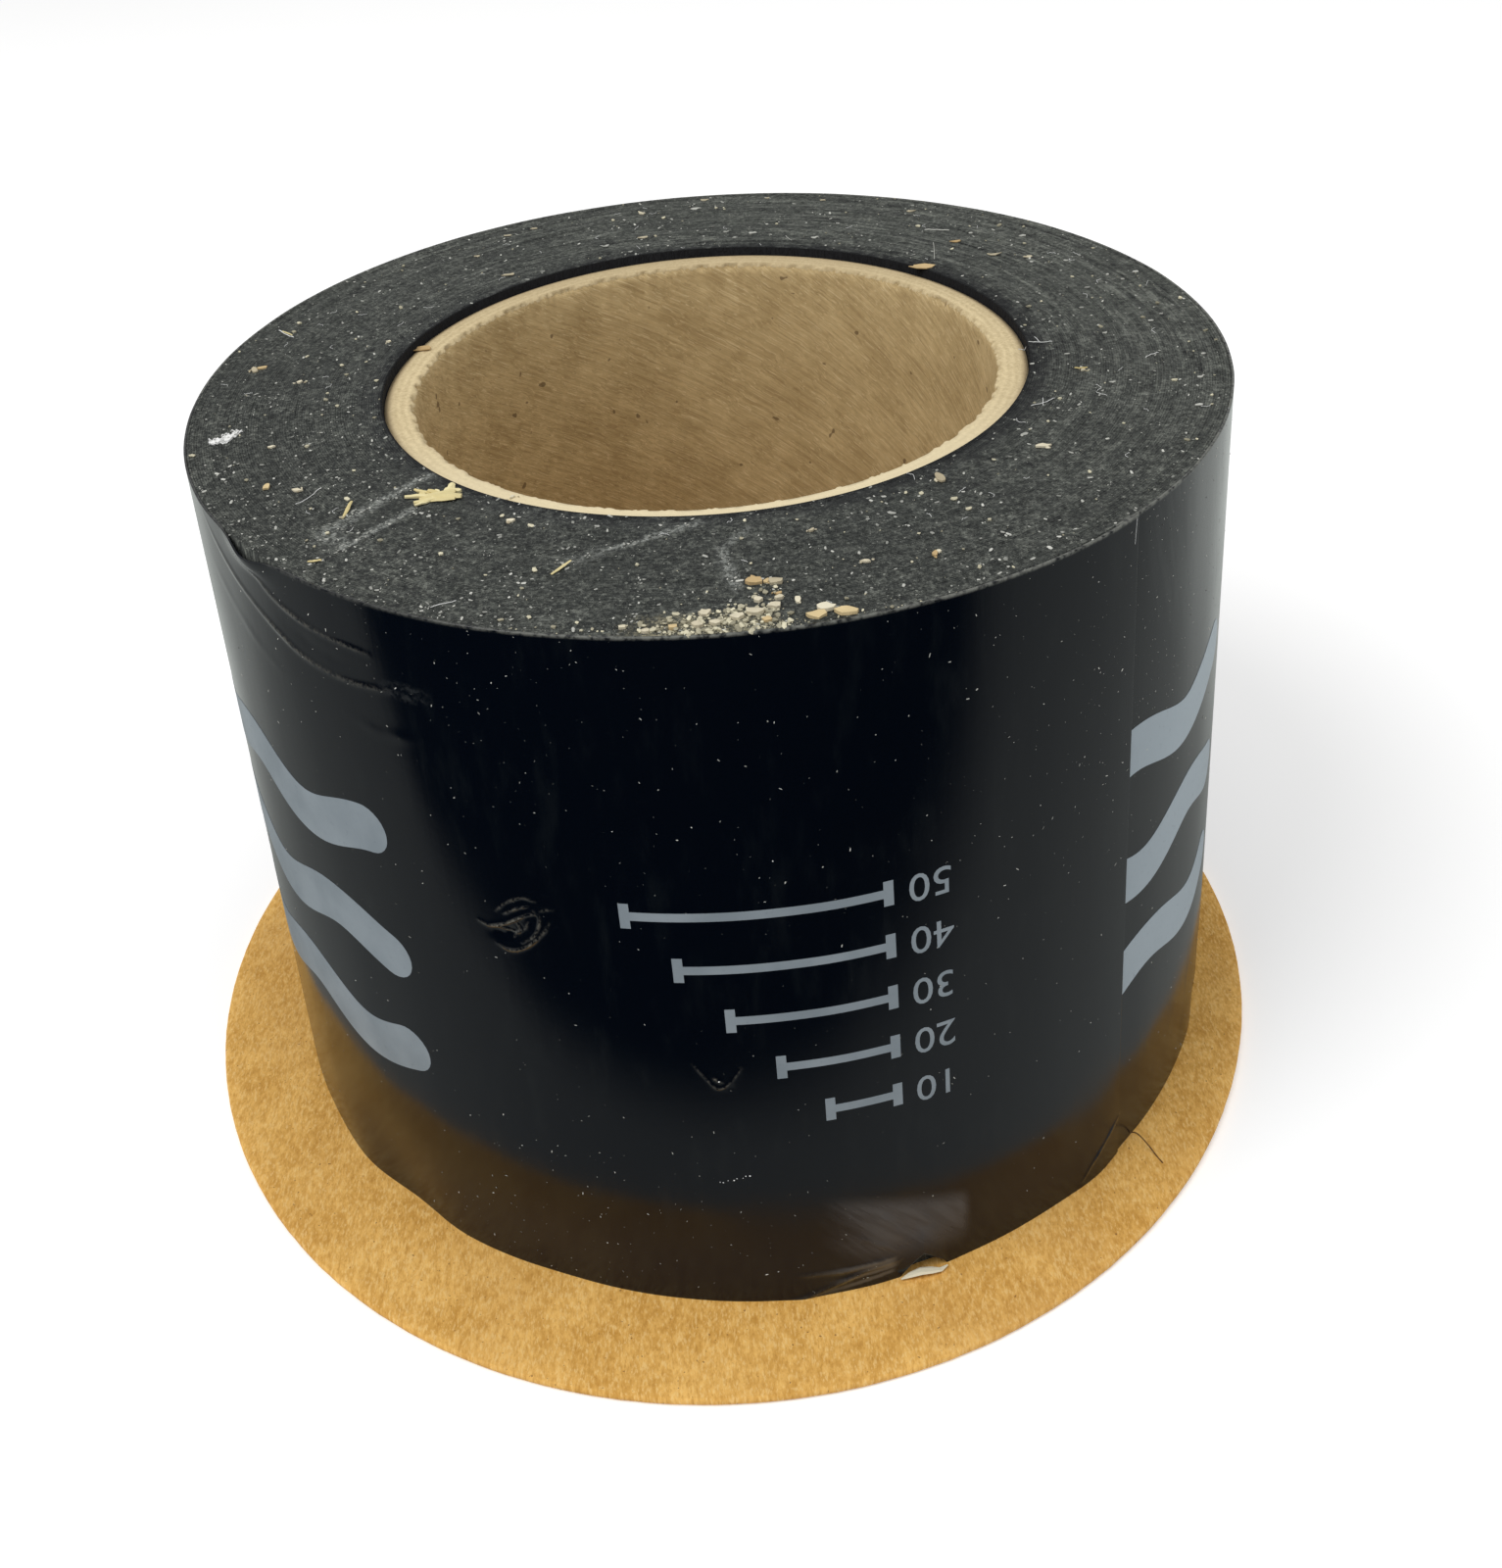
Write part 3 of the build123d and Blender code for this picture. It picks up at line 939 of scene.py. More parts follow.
def separatorDisc():
    theta = ringAngles(disc["columns"])
    radius, thickness = disc["radius"], disc["thickness"]
    curl = disc["curl"] * (0.30 + 0.35 * np.cos(theta - 0.5) + 0.25 * np.cos(3 * theta + 1.0)) ** 2

    def rise(place):
        # the rim curls up a little where nothing holds it down
        return ease(radius - 9, radius, place) * curl
    edge = 0.06 * ringNoise(theta, 40, 1.0)
    loops = [(place, thickness + rise(place)) for place in np.linspace(2, radius - 0.25, 40)]
    loops += [(radius - 0.06 + edge, thickness - 0.10 + rise(radius)),
              (radius + edge, thickness * 0.5 + rise(radius)),
              (radius - 0.06 + edge, 0.10 + rise(radius))]
    loops += [(place, rise(place)) for place in np.linspace(radius - 0.25, 2, 20)]
    columns = len(theta)
    faces = [list(face) for face in gridFaces(len(loops), columns, True, flip=True)]
    faces.append(list(range(columns)))
    faces.append([(len(loops) - 1) * columns + index for index in range(columns)][::-1])
    return meshPiece("kraft_disc", ringPoints(loops, theta, disc["centre"]), faces, materials["kraft"])


discPiece = separatorDisc()
print("core and disc made")


# Print on the film: wavy bands and a small lap gauge, repeated along the tape

ink = {
    "lift": 0.035, "thickness": 0.025,
    "slice": 1.4, "rowSlice": 3.0,      # the print is cut this fine along and across the tape
    "repeat": 128.0,          # degrees of film from one motif to the next
    "firstGauge": -69.2,      # right edge of the gauge that faces the front
    "waves": {"from": -80.0, "length": 48.0, "height": 6.6, "swing": 1.6, "wavelength": 27.0,
              "levels": [30.0, 46.0, 62.0], "step": 0.7},
    "gauge": {"rows": 5, "lowest": 30.2, "pitch": 7.4, "firstLength": 8.0, "growth": 5.2,
              "line": 1.15, "end": 3.4, "numberHeight": 3.9, "numberWidth": 6.6, "gap": 1.6},
}


def addWave(bm, centre, level, waves):
    # one wavy band with round ends, drawn flat: x along the tape, y up the roll
    half = waves["length"] / 2
    wide = waves["height"] / 2
    steps = np.arange(-half, half + waves["step"] / 2, waves["step"])
    bend = 2 * math.pi / waves["wavelength"]
    middle = np.stack([centre + steps, level + waves["swing"] * np.sin(bend * (steps + level))], -1)
    along = np.gradient(middle, axis=0)
    along /= np.linalg.norm(along, axis=1)[:, None]
    across = np.stack([-along[:, 1], along[:, 0]], -1)
    lower, upper = ([bm.verts.new((x, y, 0)) for x, y in middle + across * side] for side in (-wide, wide))
    for index in range(len(steps) - 1):
        bm.faces.new([lower[index], lower[index + 1], upper[index + 1], upper[index]])
    for index, side in ((0, -1), (-1, 1)):
        cap = []
        for turn in np.linspace(0, math.pi, 14)[1:-1]:
            outwards = math.cos(turn) * across[index] + side * math.sin(turn) * along[index]
            cap.append(bm.verts.new((*(middle[index] + wide * outwards), 0)))
        ring = [upper[index], *cap, lower[index]]
        bm.faces.new(ring[::-1] if side > 0 else ring)


def addBar(bm, left, right, level, thick):
    low, high = level - thick / 2, level + thick / 2
    corners = ((left, low), (right, low), (right, high), (left, high))
    bm.faces.new([bm.verts.new((x, y, 0)) for x, y in corners])


def addNumber(bm, text, x, y, tall):
    # plain figures, upside down as the roll stands
    curve = bpy.data.curves.new("figures", "FONT")
    curve.body = text
    curve.size = tall * 1.38
    curve.resolution_u = 4
    curve.align_x = "CENTER"
    curve.align_y = "CENTER"
    holder = bpy.data.objects.new("figures", curve)
    bpy.context.collection.objects.link(holder)
    bpy.context.view_layer.update()
    mesh = bpy.data.meshes.new_from_object(holder)
    mesh.transform(Matrix.Translation((x, y, 0)) @ Matrix.Rotation(math.pi, 4, "Z"))
    bm.from_mesh(mesh)
    bpy.data.objects.remove(holder)
    bpy.data.curves.remove(curve)
    bpy.data.meshes.remove(mesh)


def addGauge(bm, edge, gauge):
    # rows that all start with their number at the same edge
    for row in range(gauge["rows"]):
        level = gauge["lowest"] + row * gauge["pitch"]
        right = edge - gauge["numberWidth"] - gauge["gap"]
        left = right - gauge["firstLength"] - row * gauge["growth"]
        addBar(bm, left, right, level, gauge["line"])
        for x in (left, right):
            addBar(bm, x - gauge["line"] / 2, x + gauge["line"] / 2, level, gauge["end"])
        addNumber(bm, str(10 * (row + 1)), edge - gauge["numberWidth"] / 2, level, gauge["numberHeight"])


def cut(bm, place, direction, clear=False):
    # cuts the flat print through place; clear takes off what lies beyond, the way that direction points
    bmesh.ops.bisect_plane(bm, geom=bm.verts[:] + bm.edges[:] + bm.faces[:], plane_co=place,
                           plane_no=direction, clear_outer=clear, dist=1e-5)


def sliced(bm, low, high, direction, step):
    # cuts the flat print across again and again, so that it can bend round the roll
    place = low
    while place < high:
        cut(bm, direction * place, direction)
        place += step


def filmPrint():
    # drawn flat in millimetres of film clockwise from the free end, then laid on the film
    bm = bmesh.new()
    for repeat in range(-3, 2):
        gaugeAt = (ink["firstGauge"] + repeat * ink["repeat"] - roll["tailAngle"]) * degree
        for level in ink["waves"]["levels"]:
            addWave(bm, gaugeAt + ink["waves"]["from"] * degree, level, ink["waves"])
        addGauge(bm, gaugeAt, ink["gauge"])
    # what the free end covers or has left behind comes off
    first, last = -360 * degree, 0.0
    cut(bm, (first + 0.25, 0, 0), (-1, 0, 0), clear=True)
    cut(bm, (last, 0, 0), (1, 0, 0), clear=True)
    sliced(bm, first, last, Vector((1, 0, 0)), ink["slice"])
    sliced(bm, 4, roll["width"], Vector((0, 1, 0)), ink["rowSlice"])
    bmesh.ops.triangulate(bm, faces=[face for face in bm.faces if len(face.verts) > 4])
    bmesh.ops.solidify(bm, geom=bm.faces[:], thickness=ink["thickness"])
    points, faces = emptied(bm)
    turned = np.clip(360 + points[:, 0] / degree, 0, 360)
    angle = wrapped(tailAt(points[:, 1]) + turned)
    placed = onFilm(angle, points[:, 1], turned, ink["lift"] + points[:, 2])
    piece = meshPiece("film_print", placed, faces, materials["ink"], smooth=False)
    outward = bmesh.new()
    outward.from_mesh(piece.data)
    bmesh.ops.recalc_face_normals(outward, faces=outward.faces[:])
    outward.to_mesh(piece.data)
    outward.free()
    return piece


printPiece = filmPrint()
print("print laid on the film", len(printPiece.data.polygons))


# Dust: grains scattered by Geometry Nodes over patches that say how thick it lies

topPatch = {"from": 42.4, "to": 66.9, "rings": 60, "spokes": 800, "sunk": 0.15}
filmPatch = {"from": 0.4, "to": 94.8, "rows": 64, "spokes": 360}
scratches = [    # lines of grains on the upper end: corners, half width and weight
    ([(-33.2, -26.9), (-38.5, -33.0), (-43.9, -40.2)], 0.8, 4.6),
    ([(-34.0, -35.3), (-38.0, -39.6), (-41.7, -43.8)], 0.5, 8.0),
    ([(-1.7, -43.9), (-7.1, -46.6), (-11.9, -48.4), (-17.0, -50.5)], 0.7, 3.0),
    ([(0.2, -50.3), (0.6, -54.0), (1.6, -58.5)], 0.5, 4.0),
    ([(-17.7, -52.9), (-15.7, -50.7)], 0.4, 5.0),
]


def clumps(x, y, scale, seed):
    # soft clumps from 0 to 1
    spots = [noise.noise(Vector((px * scale, py * scale, seed))) for px, py in zip(x.ravel(), y.ravel())]
    return ease(-0.15, 0.35, np.array(spots).reshape(x.shape))


def blob(x, y, centreX, centreY, width):
    return hump(np.hypot(x - centreX, y - centreY), 0, width)


def lineDust(x, y):
    weight = blob(x, y, -42.8, -41.2, 2.2) * 0.4 + blob(x, y, -8.7, -55.0, 1.2) * 0.5
    for corners, width, strength in scratches:
        weight = weight + strength / 5 * hump(distanceToLine(x, y, smoothLine(corners))[0], 0, width)
    return weight * (0.15 + clumps(x, y, 0.9, 5.0))


def topDust(x, y):
    # usual dust on the upper end: more at the left and the front, and on the rim at the front left
    radius, angle = np.hypot(x, y), np.degrees(np.arctan2(y, x))
    weight = 0.40 + 0.50 * ease(10, -45, x) * ease(30, -30, y) + 0.20 * ease(0, -50, y)
    weight = weight + 0.9 * ease(62.5, 66, radius) * ease(-60, -100, angle) * ease(-165, -140, angle)
    return weight * (0.5 + clumps(x, y, 0.16, 3.0))


def heapDust(x, y):
    # the heap of crumbs along the front of the rim, and a few crumbs near it
    radius, angle = np.hypot(x, y), np.degrees(np.arctan2(y, x))
    inner = 63.2 - 1.8 * hump(angle, -88.5, 3.5)
    heap = ease(-99.5, -91.5, angle) * ease(-83.5, -86.0, angle) * ease(inner - 0.8, inner + 1.4, radius)
    heap = heap * (0.25 + 0.9 * clumps(x, y, 0.75, 8.0))
    trail = ease(-116, -100, angle) * ease(-62, -84, angle) * ease(64.4, 66.4, radius) * 0.12
    return heap + trail + 0.4 * blob(x, y, 4.6, -58.8, 1.4) + 0.003


def filmSpecks(angle, height):
    low, lowest = 1 - ease(8, 34, height), 1 - ease(4, 22, height)
    weight = 0.6 + 0.5 * ease(45, 90, height) + 0.8 * hump(angle, -112, 14) * hump(height, 84, 9)
    weight = weight + 1.0 * hump(angle, -90, 7) * hump(height, 66, 9)
    weight = weight + 1.2 * hump(angle, -92, 9) * lowest
    weight = weight + 3.2 * hump(angle, -46, 15) * ease(35, 75, height)
    return weight + 2.2 * hump(angle, -114, 15) * low


def topPatchMesh(weigh):
    theta = np.linspace(-np.pi, np.pi, topPatch["spokes"], endpoint=False)
    radii = np.linspace(topPatch["from"], topPatch["to"], topPatch["rings"])
    x, y = radii[:, None] * np.cos(theta), radii[:, None] * np.sin(theta)
    points = np.stack([x, y, 0 * x + roll["top"] - topPatch["sunk"]], -1).reshape(-1, 3)
    return points, gridFaces(len(radii), len(theta), True)[:, ::-1], weigh(x, y)


def filmPatchMesh(weigh):
    turned = np.linspace(0.5, 359.5, filmPatch["spokes"])
    heights = np.linspace(filmPatch["from"], filmPatch["to"], filmPatch["rows"])
    on, up = np.meshgrid(turned, heights)
    angle = wrapped(tailAt(up) + on)
    points = onFilm(angle, up, on).reshape(-1, 3)
    return points, gridFaces(len(heights), len(turned), False), weigh(angle, up)


grainShape = {
    "above": 1.2, "reach": 4.0,       # millimetres: where the ray starts over the patch, and its length
    "lift": 0.22,                     # share of its height that a grain's middle lies above the surface
    "bumps": 2.3, "ragged": 0.7,      # scale and height of the bumps that make a grain uneven
    "tilt": 0.35, "spin": 6.283,      # radians
}


def scatterTree():
    # grains on a patch: each is dropped on the surface below it, turned at random and given its own tint
    tree, wire, given = newTree("scatterGrains", {
        "surface": "Object", "density": "Float", "seed": "Int", "small": "Float", "large": "Float",
        "rarity": "Float", "flatness": "Float", "stretch": "Float", "material": "Material"}, geometryIn=True)
    weight = wire.add("GeometryNodeInputNamedAttribute", {"data_type": "FLOAT"}, {"Name": "weight"})
    spreadOut = wire.add("GeometryNodeDistributePointsOnFaces", {"distribute_method": "RANDOM"}, {
        "Mesh": given["Geometry"], "Density": weight * given["density"], "Seed": given["seed"]})
    normal, facing = spreadOut.out("Normal"), spreadOut.out("Rotation")
    place = wire.add("GeometryNodeInputPosition")

    def vector(operation, first, second):
        return wire.add("ShaderNodeVectorMath", {"operation": operation}, {0: first, 1: second})

    def chance(low, high, offset):
        return wire.add("FunctionNodeRandomValue", {"data_type": "FLOAT"}, {
            2: low, 3: high, "Seed": given["seed"] + offset}).out(1)

    def tilt(offset):
        return chance(-grainShape["tilt"], grainShape["tilt"], offset)
    # a ray from a little above the patch finds the surface
    above = vector("ADD", place, normal.scaled((grainShape["above"] * mm,) * 3))
    surface = wire.add("GeometryNodeObjectInfo", {"transform_space": "ORIGINAL"}, {
        "Object": given["surface"]}).out("Geometry")
    ray = wire.add("GeometryNodeRaycast", {}, {
        "Target Geometry": surface, "Source Position": above,
        "Ray Direction": normal.scaled((-1.0, -1.0, -1.0)), "Ray Length": grainShape["reach"] * mm})
    landed = wire.add("GeometryNodeSwitch", {"input_type": "VECTOR"}, {
        "Switch": ray, "False": place, "True": ray.out("Hit Position")})
    size = given["small"] + (given["large"] - given["small"]) * chance(0.0, 1.0, 1) ** given["rarity"]
    ball = wire.add("GeometryNodeMeshIcoSphere", {}, {"Radius": 0.5, "Subdivisions": 1})
    corner = wire.add("GeometryNodeInputPosition")
    rough = wire.add("ShaderNodeTexNoise", {}, {"Vector": corner, "Scale": grainShape["bumps"]})
    rough = vector("SUBTRACT", rough.out(1), (0.5, 0.5, 0.5)).scaled((grainShape["ragged"],) * 3)
    ball = wire.add("GeometryNodeSetPosition", {}, {"Geometry": ball, "Offset": rough})
    lift = wire.joined(*([size * given["flatness"] * grainShape["lift"]] * 3))
    points = wire.add("GeometryNodeSetPosition", {}, {
        "Geometry": spreadOut, "Position": vector("ADD", landed, vector("MULTIPLY", normal, lift))})
    turned = wire.add("FunctionNodeRotateRotation", {"rotation_space": "LOCAL"}, {
        "Rotation": facing, "Rotate By": wire.add("FunctionNodeEulerToRotation", {}, {
            0: wire.joined(tilt(2), tilt(3), chance(0.0, grainShape["spin"], 4))})})
    long = 1.0 + (given["stretch"] - 1.0) * chance(0.0, 1.0, 5)
    grains = wire.add("GeometryNodeInstanceOnPoints", {}, {
        "Points": points, "Instance": ball, "Rotation": turned,
        "Scale": wire.joined(size * long, size, size * given["flatness"] * chance(0.6, 1.2, 6))})
    tinted = wire.add("GeometryNodeStoreNamedAttribute", {"data_type": "FLOAT", "domain": "INSTANCE"}, {
        "Geometry": grains, "Name": "tint", "Value": chance(0.0, 1.0, 7)})
    closeTree(wire, tinted, given["material"])
    return tree


# density is in grains to a square millimetre, small and large are sizes in millimetres
dustSets = {
    "dust_fine": {"weigh": topDust, "density": 0.72, "small": 0.06, "large": 0.40, "rarity": 3.2,
                  "flatness": 0.6, "stretch": 2.2, "material": "dust", "seed": 11},
    "dust_flakes": {"weigh": topDust, "density": 0.010, "small": 0.20, "large": 0.60, "rarity": 2.0,
                    "flatness": 0.25, "stretch": 2.6, "material": "dust", "seed": 23},
    "dust_lines": {"weigh": lineDust, "density": 5.0, "small": 0.06, "large": 0.36, "rarity": 2.4,
                   "flatness": 0.6, "stretch": 2.0, "material": "dust", "seed": 29},
    "dust_heap": {"weigh": heapDust, "density": 14.0, "small": 0.07, "large": 0.66, "rarity": 2.8,
                  "flatness": 0.75, "stretch": 1.7, "material": "heap", "seed": 31},
    "film_specks": {"weigh": filmSpecks, "density": 0.085, "small": 0.03, "large": 0.15, "rarity": 2.8,
                    "flatness": 0.4, "stretch": 4.5, "material": "dust", "seed": 47},
}


def scatterDust():
    tree = scatterTree()
    pieces = []
    for name, dust in dustSets.items():
        onTheFilm = dust["weigh"] is filmSpecks
        points, faces, weights = (filmPatchMesh if onTheFilm else topPatchMesh)(dust["weigh"])
        patch = meshPiece("patch", points, faces, materials["dust"])
        store(patch, "weight", weights.ravel())
        pieces.append(bakedPiece(name, tree, {
            **dust, "surface": outerTurnPiece if onTheFilm else turnEdgePieces[0],
            "density": dust["density"] / mm ** 2, "small": dust["small"] * mm, "large": dust["large"] * mm,
            "material": materials[dust["material"]]}, source=patch))
        bpy.data.objects.remove(patch)
    return pieces


dustPieces = scatterDust()
print("dust scattered", [len(piece.data.polygons) for piece in dustPieces])


# Chips, splinters, lint and threads that lie in their own places

def surfaceTree(*pieces):
    points, faces = [], []
    for piece in pieces:
        base = len(points)
        points += [vertex.co[:] for vertex in piece.data.vertices]
        faces += [[base + index for index in face.vertices] for face in piece.data.polygons]
    return BVHTree.FromPolygons(points, faces)


topSurface = surfaceTree(turnEdgePieces[0], windingsPiece, corePiece)


def seat(x, y):
    # height of the upper end of the roll, in millimetres
    hit = topSurface.ray_cast(Vector((x, y, roll["top"] + 5)) * mm, Vector((0, 0, -1)))
    return hit[0].z / mm if hit[0] else roll["top"]


def filmPoint(angle, height, out):
    turned = (angle - tailAt(height)) % 360
    return onFilm(np.array([angle]), np.array([height]), np.array([turned]), out)[0]


class Heap:
    # closed little shapes of one material, gathered into one piece
    def __init__(self):
        self.points = []
        self.faces = []
        self.tints = []

    def put(self, points, faces, tint):
        base = len(self.points)
        self.points += [tuple(point) for point in points]
        self.faces += [[base + index for index in face] for face in faces]
        self.tints += [tint] * len(points)

    def tube(self, points, widths, dice, sides=5, flat=1.0, tint=None):
        # tube along points; flat squashes it towards the surface
        points = [Vector(point) for point in points]
        rings = []
        for index, point in enumerate(points):
            ahead = (points[min(index + 1, len(points) - 1)] - points[max(index - 1, 0)]).normalized()
            side = ahead.cross(Vector((0, 0, 1)))
            side = side.normalized() if side.length > 1e-4 else Vector((1, 0, 0))
            above = side.cross(ahead)
            for corner in range(sides):
                turn = 2 * math.pi * corner / sides
                reach = widths[index] * dice.uniform(0.85, 1.15) / 2
                rings.append(point + side * math.cos(turn) * reach + above * math.sin(turn) * reach * flat)
        faces = [list(face) for face in gridFaces(len(points), sides, True, flip=True)]
        faces.append(list(range(sides)))
        faces.append([(len(points) - 1) * sides + corner for corner in range(sides)][::-1])
        self.put(rings, faces, dice.random() if tint is None else tint)

    def flake(self, x, y, size, dice, thick=0.22, stretch=1.4, turn=None, tint=None):
        # bent chip with a ragged outline, seated on the upper end
        turn = dice.uniform(0, math.pi) if turn is None else math.radians(turn)
        up = seat(x, y)
        count = 9
        upper, lower = [], []
        tiltX, tiltY = dice.uniform(-0.2, 0.2), dice.uniform(-0.2, 0.2)
        for corner in range(count):
            angle = 2 * math.pi * corner / count
            reach = size * dice.uniform(0.32, 0.56)
            u, v = reach * math.cos(angle) * stretch, reach * math.sin(angle) / stretch
            px = x + u * math.cos(turn) - v * math.sin(turn)
            py = y + u * math.sin(turn) + v * math.cos(turn)
            rise = up + 0.06 + abs(u * tiltX + v * tiltY) + 0.10 * dice.random() * size
            upper.append((px, py, rise + thick / 2))
            lower.append((px, py, rise - thick / 2))
        points = upper + lower + [(x, y, up + 0.06 + thick * 0.9), (x, y, up + 0.02)]
        faces = []
        for corner in range(count):
            after = (corner + 1) % count
            faces += [[corner, after, 2 * count], [count + after, count + corner, 2 * count + 1],
                      [count + corner, count + after, after, corner]]
        self.put(points, faces, dice.random() if tint is None else tint)

    def splinter(self, start, end, width, dice):
        # stick that tapers to both ends and rises towards the far one
        shares = [step / 6 for step in range(7)]
        points = []
        for share in shares:
            x = start[0] + (end[0] - start[0]) * share + dice.uniform(-0.06, 0.06)
            y = start[1] + (end[1] - start[1]) * share + dice.uniform(-0.06, 0.06)
            points.append((x, y, seat(x, y) + 0.12 + 0.25 * share))
        widths = [width * (0.45 + 0.55 * math.sin(math.pi * (0.15 + 0.7 * share))) for share in shares]
        self.tube(points, widths, dice, flat=0.55)

    def thread(self, corners, width, dice, lift=0.12, tint=None):
        points = []
        for index, (x, y) in enumerate(smoothLine(corners, 5)):
            points.append((x, y, seat(x, y) + lift * (0.4 + 0.6 * math.sin(index * 0.9) ** 2)))
        self.tube(points, [width] * len(points), dice, tint=tint)

    def dot(self, centre, size, dice):
        # rough little grain
        ring = [(math.cos(turn), math.sin(turn), 0) for turn in np.linspace(0, 2 * math.pi, 6)[:-1]]
        points = [Vector(corner) * dice.uniform(0.7, 1.2) for corner in [(0, 0, -1), *ring, (0, 0, 1)]]
        faces = []
        for corner in range(5):
            after = (corner + 1) % 5
            faces += [[0, after + 1, corner + 1], [6, corner + 1, after + 1]]
        self.put([Vector(centre) + point * size / 2 for point in points], faces, dice.uniform(0.7, 1.0))

    def piece(self, name, material):
        made = meshPiece(name, self.points, self.faces, material, smooth=False)
        store(made, "tint", self.tints)
        return made


